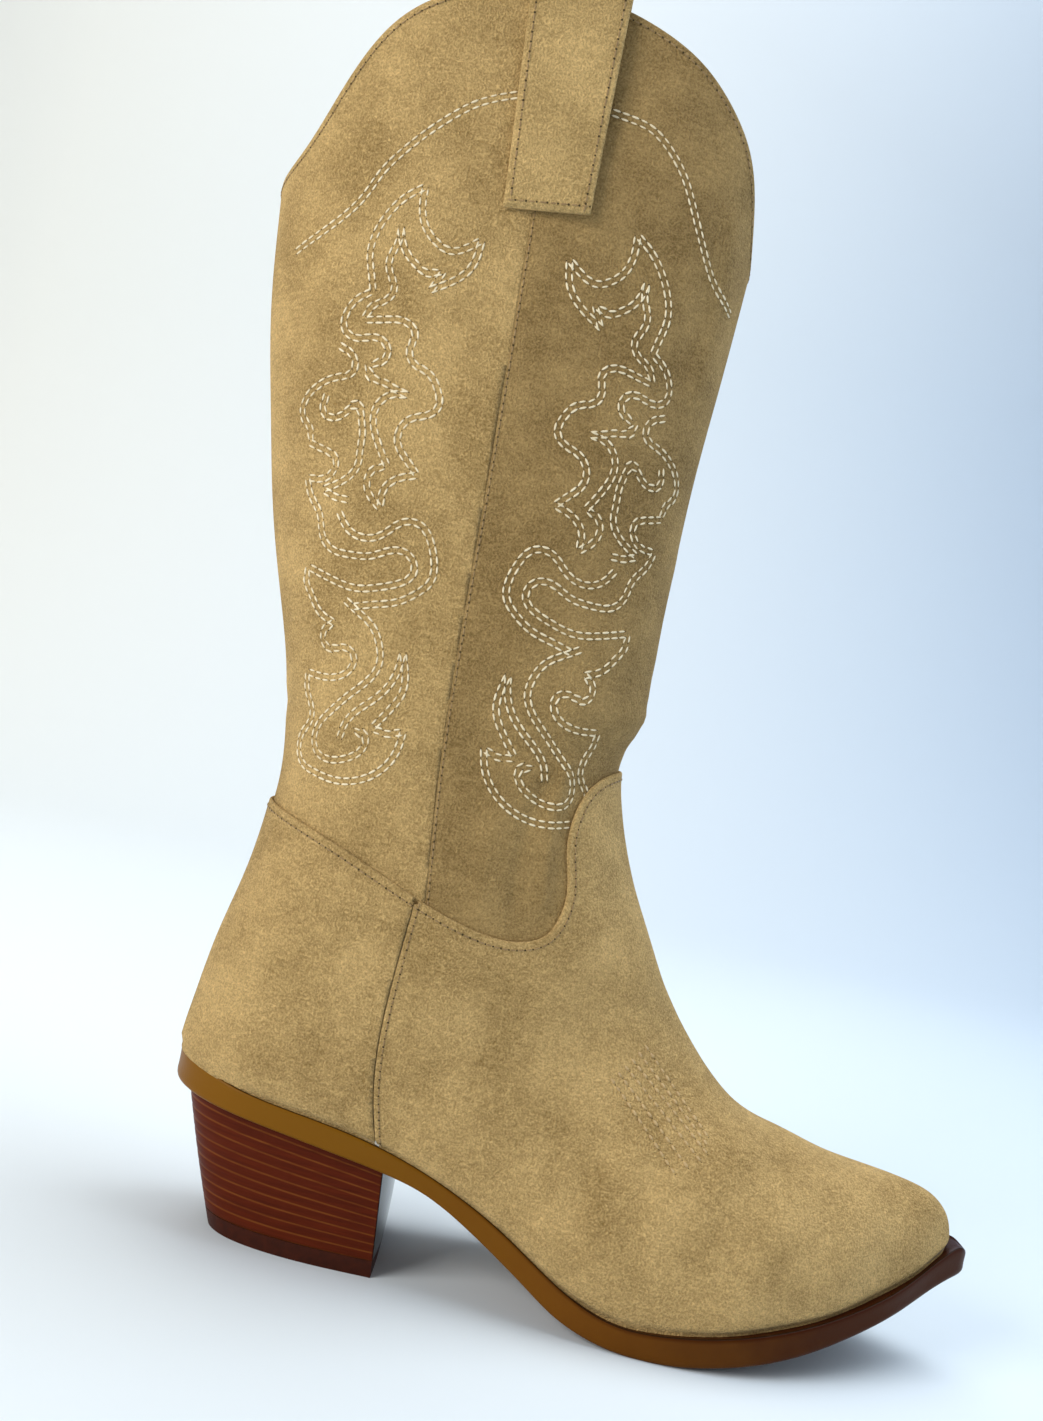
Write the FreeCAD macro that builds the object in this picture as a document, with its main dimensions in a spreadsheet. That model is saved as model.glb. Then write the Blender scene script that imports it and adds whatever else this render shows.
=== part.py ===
"""Right cowboy boot, women's EU 38, heeled and pointed, made piece by piece.

Frame: +X points to the toe, -Y to the outer side of the foot, +Z up.
The boot stands on its heel and the ball of its sole at Z = 0.
The upper is drawn on a last: closed sections fan round the instep, level in the
shaft, upright in the toe.  Lasts drawn smaller by each layer's depth make the
layers, and curves drawn in side view trim them to the pattern pieces.
"""
import FreeCAD, Part
import math
import os

V = FreeCAD.Vector
doc = FreeCAD.newDocument("cowboy_boot")

# ---------------------------------------------------------------- driving sizes
sheet = doc.addObject("Spreadsheet::Sheet", "Sizes")
DRIVING_SIZES = [
    ("upper_thick", 1.4, "faux suede of the upper"),
    ("middle_thick", 1.4, "shaft panel, stiffener, puff or interlining under the suede"),
    ("lining_thick", 0.8, "knitted lining"),
    ("insole_thick", 2.2, "insole board"),
    ("sock_thick", 1.0, "sock lining"),
    ("pad_thick", 3.0, "foam heel pad under the sock"),
    ("recess_deep", 1.6, "recess in the top of the outsole for shank and filler"),
    ("shank_width", 12.0, "steel shank"),
    ("shank_rear", -98.0, "rear end of the shank"),
    ("shank_front", 14.0, "front end of the shank"),
    ("filler_rear", 20.0, "rear end of the bottom filler"),
    ("filler_front", 112.0, "front end of the bottom filler"),
    ("filler_share", 0.76, "width of the filler against that of the outsole"),
    ("cutter_reach", 70.0, "half length of the side view cutters"),
    ("cutter_low", -30.0, "height where the cutters that stand up start"),
    ("cutter_high", 110.0, "length of the cutters that stand up from there"),
    ("cutter_rear", -180.0, "rear end of the level cutters"),
    ("cutter_long", 200.0, "length of the level cutters"),
    ("wrap_thick", 1.0, "stacked-look heel cover"),
    ("top_piece_high", 5.5, "rubber top piece under the heel"),
    ("heel_screw_radius", 2.5, "heel screw shank"),
    ("heel_screw_long", 38.0, "heel screw under its head"),
    ("heel_screw_head", 4.5, "radius of the screw head"),
    ("heel_screw_sunk", 0.6, "screw head under the top of the insole board"),
    ("heel_axis", -86.0, "middle of the heel, where the screw goes in"),
    ("nail_radius", 1.1, "heel nails"),
    ("nail_long", 22.0, "heel nails"),
    ("nail_spread_long", 15.0, "nail square, half its length"),
    ("nail_spread_wide", 14.0, "nail square, half its width"),
    ("nail_sunk", 0.3, "nail heads under the top of the insole board"),
    ("pin_radius", 2.0, "steel pins of the top piece"),
    ("pin_long", 14.0, "steel pins of the top piece"),
    ("pin_spread", 12.0, "half the distance between the two pins"),
    ("pin_ahead", 8.0, "middle of the two pins ahead of the heel screw"),
    ("pin_low", 1.0, "height of the lower end of the pins"),
    ("rivet_radius", 2.0, "shank rivets"),
    ("rivet_long", 3.6, "shank rivets"),
    ("rivet_rear", -58.0, "place of the rear rivet along the boot"),
    ("rivet_front", -18.0, "place of the front rivet along the boot"),
    ("rivet_lift", 0.1, "lower end of the rivets above the floor of the recess"),
    ("strap_thick", 2.4, "two plies of folded suede"),
    ("strap_top_wide", 31.6, "pull strap at the rim"),
    ("strap_foot_wide", 27.0, "pull strap at its lower end"),
    ("strap_foot", 341.5, "height of the strap's lower end"),
    ("strap_inner_foot", 352.0, "height of the inner end of the strap"),
    ("strap_rim", 411.0, "height where the strap leaves the shaft"),
    ("strap_loop", 4.2, "inner radius of the strap's loop"),
    ("strap_spare", 10.0, "straight run between rim and loop"),
    ("strap_gap", 0.1, "air between strap and shaft"),
    ("strap_slant", 1.5, "rise of the strap's lower end from its middle to its edge"),
    ("strap_top_cut", 20.0, "height of the taper cutter above the start of the loop"),
    ("strap_foot_along", -60.9, "middle of the strap's lower end"),
    ("strap_top_along", -64.1, "middle of the strap at the rim"),
    ("shaft_half_low", 37.6, "half width of the last at the ankle"),
    ("shaft_half_rise", 0.033, "gain of half width per millimetre of height"),
    ("ankle_high", 160.0, "height of the ankle"),
]
for row, (alias, value, note) in enumerate(DRIVING_SIZES, start=1):
    sheet.set(f"A{row}", note)
    sheet.set(f"B{row}", str(value))
    sheet.setAlias(f"B{row}", alias)
doc.recompute()


def size(alias):
    """A driving size from the sheet."""
    return float(sheet.get(alias))


# ---------------------------------------------------------------- the last
def shaft_half(height):
    """Half width of the last in the shaft, so the sides stay straight."""
    return size("shaft_half_low") + size("shaft_half_rise") * (height - size("ankle_high"))


# Each station of the last, from the open top round the ankle to the toe:
# ridge (x, z) at the front or top, base (x, z) at the back or under the sole,
# half width, sideways shift of the middle, place of the widest line between
# ridge (0) and base (1), power of the oval on the ridge side and the base side.
STATIONS = [
    ((11.5, 430), (-165.5, 430), shaft_half(430), 0.0, 0.50, 2.2, 2.2),
    ((10.2, 360), (-156.2, 360), shaft_half(360), 0.0, 0.50, 2.2, 2.2),
    ((8.2, 318), (-150.4, 318), shaft_half(318), 0.0, 0.50, 2.2, 2.2),
    ((6.6, 270), (-141.8, 270), shaft_half(270), 0.0, 0.50, 2.2, 2.2),
    ((5.2, 225), (-129.6, 225), shaft_half(225), 0.0, 0.50, 2.2, 2.2),
    ((6.0, 196), (-121.2, 196), shaft_half(196), 0.0, 0.50, 2.2, 2.2),
    ((2.4, 182), (-117.6, 182), shaft_half(182), 0.0, 0.50, 2.2, 2.2),
    ((1.9, 171), (-113.4, 160), 37.6, 0.0, 0.50, 2.2, 2.2),
    ((6.6, 154), (-113.4, 141), 37.4, 0.0, 0.50, 2.1, 2.2),
    ((12.6, 139), (-116.6, 119), 37.2, 0.0, 0.51, 2.0, 2.2),
    ((20.6, 125), (-121.6, 95), 36.8, 0.0, 0.52, 2.0, 2.3),
    ((28.6, 111.5), (-124.6, 70), 36.2, 0.0, 0.52, 2.0, 2.4),
    ((35.1, 101.5), (-123.4, 47), 35.6, 0.0, 0.52, 2.0, 2.6),
    ((40.6, 94), (-103.4, 38), 35.2, 0.0, 0.52, 2.0, 2.8),
    ((47.6, 86), (-78.4, 34), 34.8, -0.3, 0.53, 2.0, 3.0),
    ((54.6, 79.5), (-48.4, 29), 35.0, -1.0, 0.55, 2.0, 3.0),
    ((61.6, 74.5), (-20.4, 19), 36.4, -2.2, 0.58, 2.0, 3.0),
    ((69.6, 70.8), (5.6, 5), 39.2, -2.8, 0.62, 2.0, 3.0),
    ((77.6, 68.4), (31.6, -6), 41.2, -1.5, 0.66, 2.0, 3.0),
    ((86.6, 66), (55.6, -6), 41.3, -0.4, 0.69, 2.0, 3.0),
    ((96.6, 63.6), (79.6, -1), 37.0, 0.6, 0.70, 2.0, 3.0),
    ((107.6, 61.8), (99.6, 6), 30.3, 1.4, 0.70, 2.1, 3.0),
    ((118.6, 60.4), (115.6, 13), 23.0, 2.2, 0.70, 2.2, 3.0),
    ((129.6, 58.6), (129.0, 19), 16.4, 3.0, 0.68, 2.2, 3.0),
    ((137.0, 55.8), (137.0, 24), 11.2, 3.5, 0.65, 2.2, 2.8),
    ((142.0, 51.0), (142.0, 32), 7.2, 3.8, 0.60, 2.1, 2.4),
    ((144.0, 45.5), (144.0, 38.5), 3.6, 4.0, 0.50, 2.0, 2.0),
]
SECTION_POINTS = 24
TOE_FADE_HALF = 25.0
KEEP_SHARE = 2.0 / 3.0


def signed_power(value, power):
    return math.copysign(abs(value) ** power, value)


def last_section(station, inset):
    """One closed section of the last, drawn smaller by inset, as a periodic curve."""
    ridge, base, half, shift, widest, ridge_power, base_power = station
    pull = inset * max(0.0, 1.0 - half / TOE_FADE_HALF)
    ridge = V(ridge[0] - pull, 0, ridge[1])
    base = V(base[0] - pull, 0, base[1])
    length = (base - ridge).Length
    along = (base - ridge).normalize()
    inner_length = max(length - 2 * inset, length * KEEP_SHARE)
    inner_half = max(half - inset, half * KEEP_SHARE)
    start = ridge + along * ((length - inner_length) / 2)
    ridge_side = inner_length * widest
    base_side = inner_length - ridge_side
    points = []
    for step in range(SECTION_POINTS):
        turn = 2 * math.pi * step / SECTION_POINTS
        towards_ridge = math.cos(turn) > 0
        power = ridge_power if towards_ridge else base_power
        reach = ridge_side if towards_ridge else base_side
        travel = ridge_side - reach * signed_power(math.cos(turn), 2 / power)
        side = shift - inner_half * signed_power(math.sin(turn), 2 / power)
        points.append(start + along * travel + V(0, side, 0))
    knots = [float(step) for step in range(SECTION_POINTS + 1)]
    curve = Part.BSplineCurve()
    curve.interpolate(Points=points, PeriodicFlag=True, Parameters=knots)
    return curve


def last_solid(inset):
    """A smooth skin through every section, closed at the top and the toe."""
    sections = [last_section(station, inset) for station in STATIONS]
    places = [float(place) for place in range(len(sections))]
    strings = []
    for pole in range(1, sections[0].NbPoles + 1):
        string = Part.BSplineCurve()
        string.interpolate(Points=[section.getPole(pole) for section in sections], Parameters=places)
        strings.append(string)
    skin = Part.BSplineSurface()
    skin.buildFromPolesMultsKnots(
        [string.getPoles() for string in strings],
        sections[0].getMultiplicities(), strings[0].getMultiplicities(),
        sections[0].getKnots(), strings[0].getKnots(),
        True, False, sections[0].Degree, strings[0].Degree,
    )
    face = skin.toShape()
    rims = [edge for edge in face.Edges if edge.isClosed()]
    caps = [Part.Face(Part.Wire([rim])) for rim in rims]
    hull = Part.Shell([face] + caps)
    hull.sewShape()
    return Part.makeSolid(hull)


def last(name, inset):
    """The whole last as one smooth solid."""
    body = doc.addObject("Part::Feature", name)
    body.Shape = last_solid(inset)
    return body


middle_depth = size("upper_thick")
lining_depth = middle_depth + size("middle_thick")
foot_depth = lining_depth + size("lining_thick")
last_outside = last("LastOutside", 0.0)
last_middle = last("LastMiddle", middle_depth)
last_lining = last("LastLining", lining_depth)
last_foot = last("LastFoot", foot_depth)

# ---------------------------------------------------------------- side view curves
# Feather line: where the upper meets the sole, heel to toe.
FEATHER = [
    (-150, 60.5), (-124.5, 57), (-102.4, 52.2), (-66.4, 47.2), (-46.4, 42.6), (-26.4, 35.3),
    (-6.4, 25.6), (13.1, 14.5), (32.6, 8.4), (45, 8.7), (62.2, 11), (83.3, 15.4),
    (106.1, 22.1), (131.6, 33.6), (142, 40.0), (147.5, 41.8), (151, 39.5), (170, 24),
]
# Under side of the outsole, heel to toe.
TREAD = [
    (-150, 47), (-113.4, 44.7), (-86.4, 42.0), (-66.4, 39.2), (-49.4, 36.3), (-36.4, 33.0),
    (-16.4, 23.1), (3, 11.3), (12.6, 5.7), (22.7, 2.1), (33, 0.3), (42, 0), (51, 0.3),
    (61.9, 1.7), (82.9, 6), (105.6, 13.6), (131.2, 25.0), (144, 31.0), (150.6, 33.2), (170, 38),
]
# Scalloped rim: low at the back and the front, high at the sides.
RIM = [
    (-185, 342), (-155, 343), (-146, 349), (-134.6, 367), (-119, 392.5), (-95, 405.5),
    (-68, 409.5), (-40, 406.2), (-17.9, 397), (-2, 381), (5, 363), (8.5, 349), (14, 337), (40, 320),
]
# Top edge of counter cover and vamp, with the tongue-shaped scallop in front.
TOPLINE = [
    (-150, 153), (-112.1, 143), (-80.9, 134), (-56.1, 124.4), (-36.4, 118.2), (-26.5, 116.8),
    (-18.6, 117.8), (-13.6, 120.6), (-10.6, 126.4), (-9.5, 133.3), (-10.9, 142),
    (-12.6, 151), (-12, 160), (-7.8, 170), (-1.1, 175), (8, 176.8), (40, 178),
]
# Lower edge of the shaft, tucked under the vamp and the counter cover.
TUCK = [(-150, 143), (-112, 132), (-56, 113), (-25, 105), (5, 108), (50, 120)]
# Side seam of the shaft and seam between counter cover and vamp.
SIDE_SEAM = [(-69, 440), (-65.2, 339), (-61.2, 244), (-57.2, 159), (-53.4, 123), (-50, 90)]
VAMP_SEAM = [(-56.4, 150), (-57, 121), (-58.8, 88), (-56.7, 59), (-53.2, 44), (-50, 20)]
# Rear edge of the toe puff.
PUFF_EDGE = [(78, 90), (88, 50), (92, 0)]

TOP_OF_SPACE = 470.0
FLOOR_OF_SPACE = -30.0
BACK_OF_SPACE = -200.0
FRONT_OF_SPACE = 220.0


def side_point(point, lift=0.0):
    return V(point[0], 0, point[1] + lift)


def side_curve(points, lift=0.0):
    """A smooth curve in side view through the given points."""
    curve = Part.BSplineCurve()
    curve.interpolate([side_point(point, lift) for point in points])
    return curve.toShape()


def side_cutter(name, edges):
    """A closed outline in side view, carried right across the boot."""
    outline = doc.addObject("Part::Feature", name + "Outline")
    outline.Shape = Part.Face(Part.Wire(edges))
    cutter = doc.addObject("Part::Extrusion", name)
    cutter.Base = outline
    cutter.Dir = V(0, 1, 0)
    cutter.Solid = True
    cutter.setExpression("LengthFwd", "Sizes.cutter_reach")
    cutter.setExpression("LengthRev", "Sizes.cutter_reach")
    return cutter


def region(name, points, towards):
    """Everything on one side of a curve: up, down, front or back."""
    first = side_point(points[0])
    final = side_point(points[-1])
    if towards in ("up", "down"):
        level = TOP_OF_SPACE if towards == "up" else FLOOR_OF_SPACE
        corners = [
            final, V(FRONT_OF_SPACE, 0, final.z), V(FRONT_OF_SPACE, 0, level),
            V(BACK_OF_SPACE, 0, level), V(BACK_OF_SPACE, 0, first.z), first,
        ]
    else:
        limit = FRONT_OF_SPACE if towards == "front" else BACK_OF_SPACE
        corners = [
            final, V(final.x, 0, FLOOR_OF_SPACE), V(limit, 0, FLOOR_OF_SPACE),
            V(limit, 0, TOP_OF_SPACE), V(first.x, 0, TOP_OF_SPACE), first,
        ]
    return side_cutter(name, [side_curve(points)] + Part.makePolygon(corners).Edges)


def layer(name, low, low_lift, high, high_lift):
    """A sheet between two side view curves, each lifted by its own amount."""
    low_first, low_final = side_point(low[0], low_lift), side_point(low[-1], low_lift)
    high_first, high_final = side_point(high[0], high_lift), side_point(high[-1], high_lift)
    ends = [Part.makeLine(low_final, high_final), Part.makeLine(high_first, low_first)]
    return side_cutter(name, [side_curve(low, low_lift), ends[0], side_curve(high, high_lift), ends[1]])


def common(name, *members):
    """The space that all members share."""
    shared = doc.addObject("Part::MultiCommon", name)
    shared.Shapes = list(members)
    return shared


def cut(name, base, tool):
    result = doc.addObject("Part::Cut", name)
    result.Base = base
    result.Tool = tool
    return result


above_feather = region("AboveFeather", FEATHER, "up")
under_rim = region("UnderRim", RIM, "down")
under_topline = region("UnderTopline", TOPLINE, "down")
above_tuck = region("AboveTuck", TUCK, "up")
under_tuck = region("UnderTuck", TUCK, "down")
shaft_front_side = region("ShaftFrontSide", SIDE_SEAM, "front")
shaft_back_side = region("ShaftBackSide", SIDE_SEAM, "back")
vamp_side = region("VampSide", VAMP_SEAM, "front")
counter_side = region("CounterSide", VAMP_SEAM, "back")
puff_side = region("PuffSide", PUFF_EDGE, "front")
behind_puff = region("BehindPuff", PUFF_EDGE, "back")

nodes = {}


def keep(name, piece):
    """Name a finished piece."""
    piece.Label = name
    nodes[name] = piece
    return piece


def shell(name, outer, inner, *regions):
    """A pattern piece: the skin between two lasts, trimmed by regions."""
    return keep(name, cut(name, common(name + "Block", outer, *regions), inner))


# ---------------------------------------------------------------- upper
shell("vamp", last_outside, last_middle, above_feather, under_topline, vamp_side)
shell("counter_cover", last_outside, last_middle, above_feather, under_topline, counter_side)
shell("shaft_front_panel", last_middle, last_lining, above_tuck, under_rim, shaft_front_side)
shell("shaft_back_panel", last_middle, last_lining, above_tuck, under_rim, shaft_back_side)
shell("counter_stiffener", last_middle, last_lining, above_feather, under_tuck, counter_side)
shell("vamp_interlining", last_middle, last_lining, above_feather, under_tuck, vamp_side, behind_puff)
shell("toe_puff", last_middle, last_lining, above_feather, under_tuck, puff_side)
shell("shaft_lining_front", last_lining, last_foot, above_tuck, under_rim, shaft_front_side)
shell("shaft_lining_back", last_lining, last_foot, above_tuck, under_rim, shaft_back_side)
shell("vamp_lining", last_lining, last_foot, above_feather, under_tuck, vamp_side)
shell("quarter_lining", last_lining, last_foot, above_feather, under_tuck, counter_side)

# ---------------------------------------------------------------- outsole
# Outline of the outsole in plan, from the toe along the outer side to the heel.
SOLE_OUTER = [
    (149.4, 0.0), (145.6, -3.4), (137, -9.5), (124, -19.5), (108, -29), (92, -36.5), (76, -41.5),
    (58, -44), (42, -43.8), (23, -41.2), (3, -37), (-16, -34), (-36, -32.8), (-58, -32.8),
    (-84, -31.6), (-102, -28), (-115, -20.5), (-122.8, -10),
]
# The same along the inner side, from the heel to the toe.
SOLE_INNER = [
    (-122.8, 10), (-115, 20.5), (-102, 28), (-84, 31.6), (-58, 32.4), (-36, 31.2), (-16, 30.2),
    (3, 31), (23, 35.2), (42, 40), (60, 42.6), (76, 42), (92, 38.3), (108, 32), (124, 24),
    (137, 15.8), (145.6, 11.0), (149.4, 8.0),
]
SOLE_TOE = (150.8, 4.0)
SOLE_HEEL = (-125.2, 0.0)


def sole_outline(width_share):
    """The outsole's plan outline as one closed wire, with its width scaled."""
    ring = [SOLE_TOE] + SOLE_OUTER + [SOLE_HEEL] + SOLE_INNER
    curve = Part.BSplineCurve()
    curve.interpolate(Points=[V(x, y * width_share, 0) for x, y in ring], PeriodicFlag=True)
    return Part.Wire([curve.toShape()])


def plan_block(name, wire):
    """A plan outline carried up through the boot."""
    outline = doc.addObject("Part::Feature", name + "Outline")
    outline.Shape = Part.Face(wire)
    outline.setExpression("Placement.Base.z", "Sizes.cutter_low")
    block = doc.addObject("Part::Extrusion", name)
    block.Base = outline
    block.Dir = V(0, 0, 1)
    block.Solid = True
    block.setExpression("LengthFwd", "Sizes.cutter_high")
    return block


def side_strip(name, rear, front, half_width):
    """A box across the boot between two places along it."""
    strip = doc.addObject("Part::Box", name)
    strip.setExpression("Length", f"{front} - {rear}")
    strip.setExpression("Width", f"2 * {half_width}")
    strip.setExpression("Height", "Sizes.cutter_high")
    strip.setExpression("Placement.Base.x", rear)
    strip.setExpression("Placement.Base.y", f"-{half_width}")
    strip.setExpression("Placement.Base.z", "Sizes.cutter_low")
    return strip


recess = size("recess_deep")
sole_block = plan_block("SoleBlock", sole_outline(1.0))
sole_sheet = layer("SoleSheet", TREAD, 0.0, FEATHER, 0.0)
recess_sheet = layer("RecessSheet", FEATHER, -recess, FEATHER, 0.0)
sole_solid = common("SoleSolid", sole_block, sole_sheet)
shank_strip = side_strip("ShankStrip", "Sizes.shank_rear", "Sizes.shank_front", "Sizes.shank_width / 2")
shank_bar = common("ShankBar", recess_sheet, shank_strip)
filler_strip = side_strip("FillerStrip", "Sizes.filler_rear", "Sizes.filler_front", "Sizes.cutter_reach")
filler_block = plan_block("FillerBlock", sole_outline(size("filler_share")))
filler = keep("bottom_filler", common("bottom_filler", recess_sheet, filler_strip, filler_block))

# ---------------------------------------------------------------- insole, pad and sock
insole = size("insole_thick")
sock = size("sock_thick")
pad = size("pad_thick")
# Top of the heel pad above the feather line: thick under the heel, gone at the waist.
PAD_SHARES = (1, 1, 1, 0.8, 0.25, 0.02)
PAD_TOP = [(x, z + insole + pad * share) for (x, z), share in zip(FEATHER, PAD_SHARES)]
SOCK_LOW = PAD_TOP + [(x, z + insole) for x, z in FEATHER[6:]]
insole_sheet = layer("InsoleSheet", FEATHER, 0.0, FEATHER, insole)
pad_sheet = layer("PadSheet", FEATHER[:6], insole, PAD_TOP, 0.0)
sock_sheet = layer("SockSheet", SOCK_LOW, 0.0, SOCK_LOW, sock)
insole_solid = common("InsoleSolid", last_foot, insole_sheet)
pad_solid = common("PadSolid", last_foot, pad_sheet)
keep("sock_lining", common("sock_lining", last_foot, sock_sheet))

# ---------------------------------------------------------------- heel
# Heel block levels: height, back, front face at the sides, half width, bow of the front face.
HEEL_LEVELS = [
    (0.0, -104.4, -46.2, 25.0, 0.6),
    (16.0, -110.4, -47.6, 26.0, 2.4),
    (56.0, -123.4, -51.2, 29.4, 2.8),
]
HEEL_POWER = 2.7
HEEL_STEPS = 12
# The cutter for the wrap's inside runs this many wall thicknesses out through the front face.
CORE_FORWARD = 40.0


def heel_section(level, inset):
    """One level of the heel: round at the back, slightly bowed in front."""
    height, back, front, half, bow = level
    length = front - back - inset
    half = half - inset
    reach = front + CORE_FORWARD * inset
    points = []
    for step in range(HEEL_STEPS + 1):
        turn = math.pi * step / HEEL_STEPS
        along = length * math.sin(turn) ** (2 / HEEL_POWER)
        points.append(V(front - along, -half * signed_power(math.cos(turn), 2 / HEEL_POWER), height))
    curve = Part.BSplineCurve()
    curve.interpolate(points)
    breast = Part.Arc(points[-1], V(reach + bow, 0, height), points[0]).toShape()
    return Part.Wire([curve.toShape(), breast])


def heel_block(name, inset):
    block = doc.addObject("Part::Feature", name)
    block.Shape = Part.makeLoft([heel_section(level, inset) for level in HEEL_LEVELS], True)
    return block


def level_box(name, low, high):
    """A slab between two heights, given as expressions."""
    slab = doc.addObject("Part::Box", name)
    slab.setExpression("Length", "Sizes.cutter_long")
    slab.setExpression("Width", "2 * Sizes.cutter_reach")
    slab.setExpression("Height", f"{high} - ({low})")
    slab.setExpression("Placement.Base.z", low)
    slab.setExpression("Placement.Base.x", "Sizes.cutter_rear")
    slab.setExpression("Placement.Base.y", "-Sizes.cutter_reach")
    return slab


heel_outside = heel_block("HeelOutside", 0.0)
heel_inside = heel_block("HeelInside", size("wrap_thick"))
under_tread = region("UnderTread", TREAD, "down")
above_top_piece = level_box("AboveTopPiece", "Sizes.top_piece_high", "Sizes.cutter_high")
below_top_piece = level_box("BelowTopPiece", "Sizes.cutter_low", "Sizes.top_piece_high")
heel_upper = common("HeelUpper", heel_outside, under_tread, above_top_piece)
keep("heel_wrap", cut("heel_wrap", heel_upper, heel_inside))
heel_core_solid = common("HeelCoreSolid", heel_upper, heel_inside)
top_piece_solid = common("TopPieceSolid", heel_outside, below_top_piece)


# ---------------------------------------------------------------- fasteners
def height_on(points, along):
    """Height of a side view line at one place along the boot."""
    for (x0, z0), (x1, z1) in zip(points, points[1:]):
        if x0 <= along <= x1:
            return z0 + (z1 - z0) * (along - x0) / (x1 - x0)
    raise ValueError("place beyond the line")


def slope_on(points, along):
    """Angle of a side view line at one place, in degrees."""
    reach = size("rivet_radius")
    rise = height_on(points, along + reach) - height_on(points, along - reach)
    return math.degrees(math.atan2(rise, 2 * reach))


def peg(name, radius, length, place, tilt=0.0):
    """A round bar whose lower end is at the given place."""
    bar = doc.addObject("Part::Cylinder", name)
    bar.setExpression("Radius", radius)
    bar.setExpression("Height", length)
    bar.Placement = FreeCAD.Placement(place, FreeCAD.Rotation(V(0, 1, 0), -tilt))
    return bar


def group(name, members):
    """Several separate solids in one piece."""
    together = doc.addObject("Part::Compound", name)
    together.Links = members
    return keep(name, together)


def fuse(name, members):
    merged = doc.addObject("Part::MultiFuse", name)
    merged.Shapes = members
    return merged


heel_axis = size("heel_axis")
under_head = height_on(FEATHER, heel_axis) - size("heel_screw_sunk")
screw_tip = V(heel_axis, 0, under_head - size("heel_screw_long"))
screw_neck = V(heel_axis, 0, under_head)
screw_shank = peg("ScrewShank", "Sizes.heel_screw_radius", "Sizes.heel_screw_long", screw_tip)
screw_head = peg("ScrewHead", "Sizes.heel_screw_head", "Sizes.insole_thick", screw_neck)
heel_screw = keep("heel_screw", fuse("heel_screw", [screw_shank, screw_head]))

nails = []
for along_sign in (-1, 1):
    for across_sign in (-1, 1):
        along = heel_axis + along_sign * size("nail_spread_long")
        across = across_sign * size("nail_spread_wide")
        foot = height_on(FEATHER, along) + insole - size("nail_sunk") - size("nail_long")
        place = V(along, across, foot)
        nails.append(peg(f"Nail{len(nails) + 1}", "Sizes.nail_radius", "Sizes.nail_long", place))
heel_nails = group("heel_nails", nails)

pins = []
for along_sign in (-1, 1):
    along = heel_axis + size("pin_ahead") + along_sign * size("pin_spread")
    place = V(along, 0, size("pin_low"))
    pins.append(peg(f"Pin{len(pins) + 1}", "Sizes.pin_radius", "Sizes.pin_long", place))
top_piece_pins = group("top_piece_pins", pins)

rivets = []
for along in (size("rivet_rear"), size("rivet_front")):
    place = V(along, 0, height_on(FEATHER, along) - recess + size("rivet_lift"))
    tilt = slope_on(FEATHER, along)
    rivets.append(peg(f"Rivet{len(rivets) + 1}", "Sizes.rivet_radius", "Sizes.rivet_long", place, tilt))
shank_rivets = group("shank_rivets", rivets)

through_shank = fuse("ThroughShank", [heel_screw, shank_rivets])
through_insole = fuse("ThroughInsole", [heel_screw, heel_nails, shank_rivets])
through_sole = fuse("ThroughSole", [shank_bar, filler, heel_screw, heel_nails, shank_rivets])
through_core = fuse("ThroughCore", [heel_screw, heel_nails, top_piece_pins])
keep("shank", cut("shank", shank_bar, through_shank))
keep("insole_board", cut("insole_board", insole_solid, through_insole))
keep("heel_pad", cut("heel_pad", pad_solid, heel_screw))
keep("outsole", cut("outsole", sole_solid, through_sole))
keep("heel_core", cut("heel_core", heel_core_solid, through_core))
keep("heel_top_piece", cut("heel_top_piece", top_piece_solid, top_piece_pins))

# ---------------------------------------------------------------- pull straps
strap_thick = size("strap_thick")
strap_foot = size("strap_foot")
inner_foot = size("strap_inner_foot")
rim_height = size("strap_rim")
loop_start = rim_height + size("strap_spare")
loop_radius = size("strap_loop")
gap = size("strap_gap")


def strap_profile(side):
    """The strap seen along the boot: outer leg, loop over the rim, inner leg."""

    def at(out, height):
        return V(0, side * out, height)

    foot_out = shaft_half(strap_foot) - middle_depth + gap
    rim_out = shaft_half(rim_height) - middle_depth + gap
    inner_out = shaft_half(inner_foot) - foot_depth - gap
    middle = rim_out - loop_radius
    far = middle - loop_radius
    outer_radius = loop_radius + strap_thick
    foot_end = strap_foot - 2 * size("strap_slant")
    inside = Part.Arc(at(rim_out, loop_start), at(middle, loop_start + loop_radius), at(far, loop_start))
    outside = Part.Arc(
        at(far - strap_thick, loop_start),
        at(middle, loop_start + outer_radius),
        at(rim_out + strap_thick, loop_start),
    )
    inner_leg = [
        at(far, loop_start),
        at(inner_out, inner_foot),
        at(inner_out - strap_thick, inner_foot),
        at(far - strap_thick, loop_start),
    ]
    outer_leg = [
        at(rim_out + strap_thick, loop_start),
        at(rim_out + strap_thick, rim_height),
        at(foot_out + strap_thick, foot_end),
        at(foot_out, foot_end),
        at(rim_out, rim_height),
        at(rim_out, loop_start),
    ]
    edges = [inside.toShape()] + Part.makePolygon(inner_leg).Edges
    edges += [outside.toShape()] + Part.makePolygon(outer_leg).Edges
    return Part.Face(Part.Wire(edges))


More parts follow.
